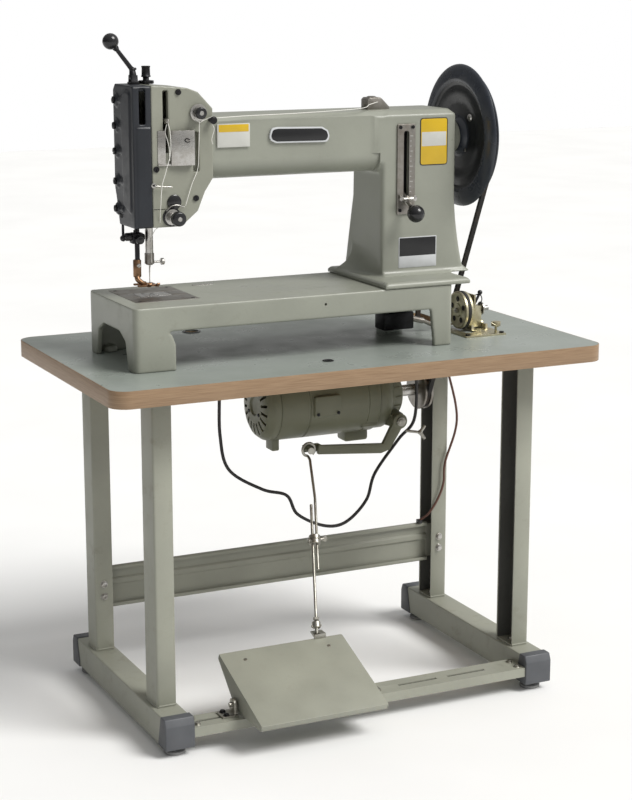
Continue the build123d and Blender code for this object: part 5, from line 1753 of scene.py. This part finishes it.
# ---- stage, light and camera ----------------------------------------------------
KEY_FROM = Vector((0.42, -0.52, 0.74))
KEY_STRENGTH = 2.9
AMBIENT_LOW = 0.12
AMBIENT_HIGH = 0.68


def make_stage():
    """Pale studio floor."""
    mesh = bpy.data.meshes.new("floor")
    s = 14.0                # half the floor's side in metres
    mesh.from_pydata([(-s, -s, 0), (s, -s, 0), (s, s, 0), (-s, s, 0)], [], [(0, 1, 2, 3)])
    floor = bpy.data.objects.new("floor", mesh)
    bpy.context.scene.collection.objects.link(floor)
    f = Finish("floor")
    cloud = f.remap(f.noise(1.5, 3), 0.3, 0.7)
    mesh.materials.append(f.end(f.mix(cloud, (0.86, 0.86, 0.86, 1), (0.90, 0.90, 0.90, 1)), 0.6, spec=0.2))


def make_world():
    """White to the camera; to the object, a soft room that is brighter above and to the right."""
    world = bpy.data.worlds.new("studio")
    bpy.context.scene.world = world
    world.use_nodes = True
    tree = world.node_tree
    back = tree.nodes["Background"]
    place = tree.nodes.new("ShaderNodeTexCoord")
    dot = tree.nodes.new("ShaderNodeVectorMath")
    dot.operation = "DOT_PRODUCT"
    dot.inputs[1].default_value = Vector((0.62, -0.16, 0.76)).normalized()
    tree.links.new(place.outputs["Generated"], dot.inputs[0])
    ramp = tree.nodes.new("ShaderNodeMapRange")
    ramp.inputs["From Min"].default_value = -0.45
    ramp.inputs["From Max"].default_value = 0.9
    ramp.inputs["To Min"].default_value = AMBIENT_LOW
    ramp.inputs["To Max"].default_value = AMBIENT_HIGH
    tree.links.new(dot.outputs["Value"], ramp.inputs["Value"])
    tree.links.new(ramp.outputs["Result"], back.inputs["Strength"])
    back.inputs["Color"].default_value = (1.0, 1.0, 0.985, 1)
    white = tree.nodes.new("ShaderNodeBackground")
    white.inputs["Color"].default_value = (1, 1, 1, 1)
    path = tree.nodes.new("ShaderNodeLightPath")
    join = tree.nodes.new("ShaderNodeMixShader")
    tree.links.new(path.outputs["Is Camera Ray"], join.inputs[0])
    tree.links.new(back.outputs[0], join.inputs[1])
    tree.links.new(white.outputs[0], join.inputs[2])
    tree.links.new(join.outputs[0], tree.nodes["World Output"].inputs["Surface"])


def make_lights():
    """One broad key light from the front right, above."""
    sun = bpy.data.lights.new("key", "SUN")
    sun.energy = KEY_STRENGTH
    sun.angle = math.radians(28)
    sun.color = (1.0, 0.99, 0.965)
    lamp = bpy.data.objects.new("key", sun)
    lamp.rotation_euler = (-KEY_FROM).to_track_quat("-Z", "Y").to_euler()
    bpy.context.scene.collection.objects.link(lamp)


def make_camera():
    """Eye height a little above the machine, well to the operator's left."""
    data = bpy.data.cameras.new("camera")
    data.sensor_fit = "VERTICAL"
    data.sensor_height = 36.0
    data.lens = 85.05
    camera = bpy.data.objects.new("camera", data)
    camera.location = DATUM + Vector((-1.8613, -3.9002, 1.6622))
    camera.rotation_euler = (math.pi / 2 - 0.2209, 0, -0.4493)
    bpy.context.scene.collection.objects.link(camera)
    bpy.context.scene.camera = camera


dress_cad()
make_stage()
make_world()
make_lights()
make_camera()
bpy.context.scene.view_settings.view_transform = "Standard"

BUILDERS = (
    make_arm, make_bed, make_head, make_cover, make_handwheel, make_tensions, make_thread_guides,
    make_machine_screws, make_take_up, make_needle_group, make_presser, make_bed_plates,
    make_lifter, make_stitch_control, make_labels, make_oiler, make_threads, make_winder,
    make_table, make_stand, make_brace, make_rail, make_treadle, make_pitman, make_clutch_lever,
    make_motor, make_belt, make_cables,
)
for build in BUILDERS:
    build()
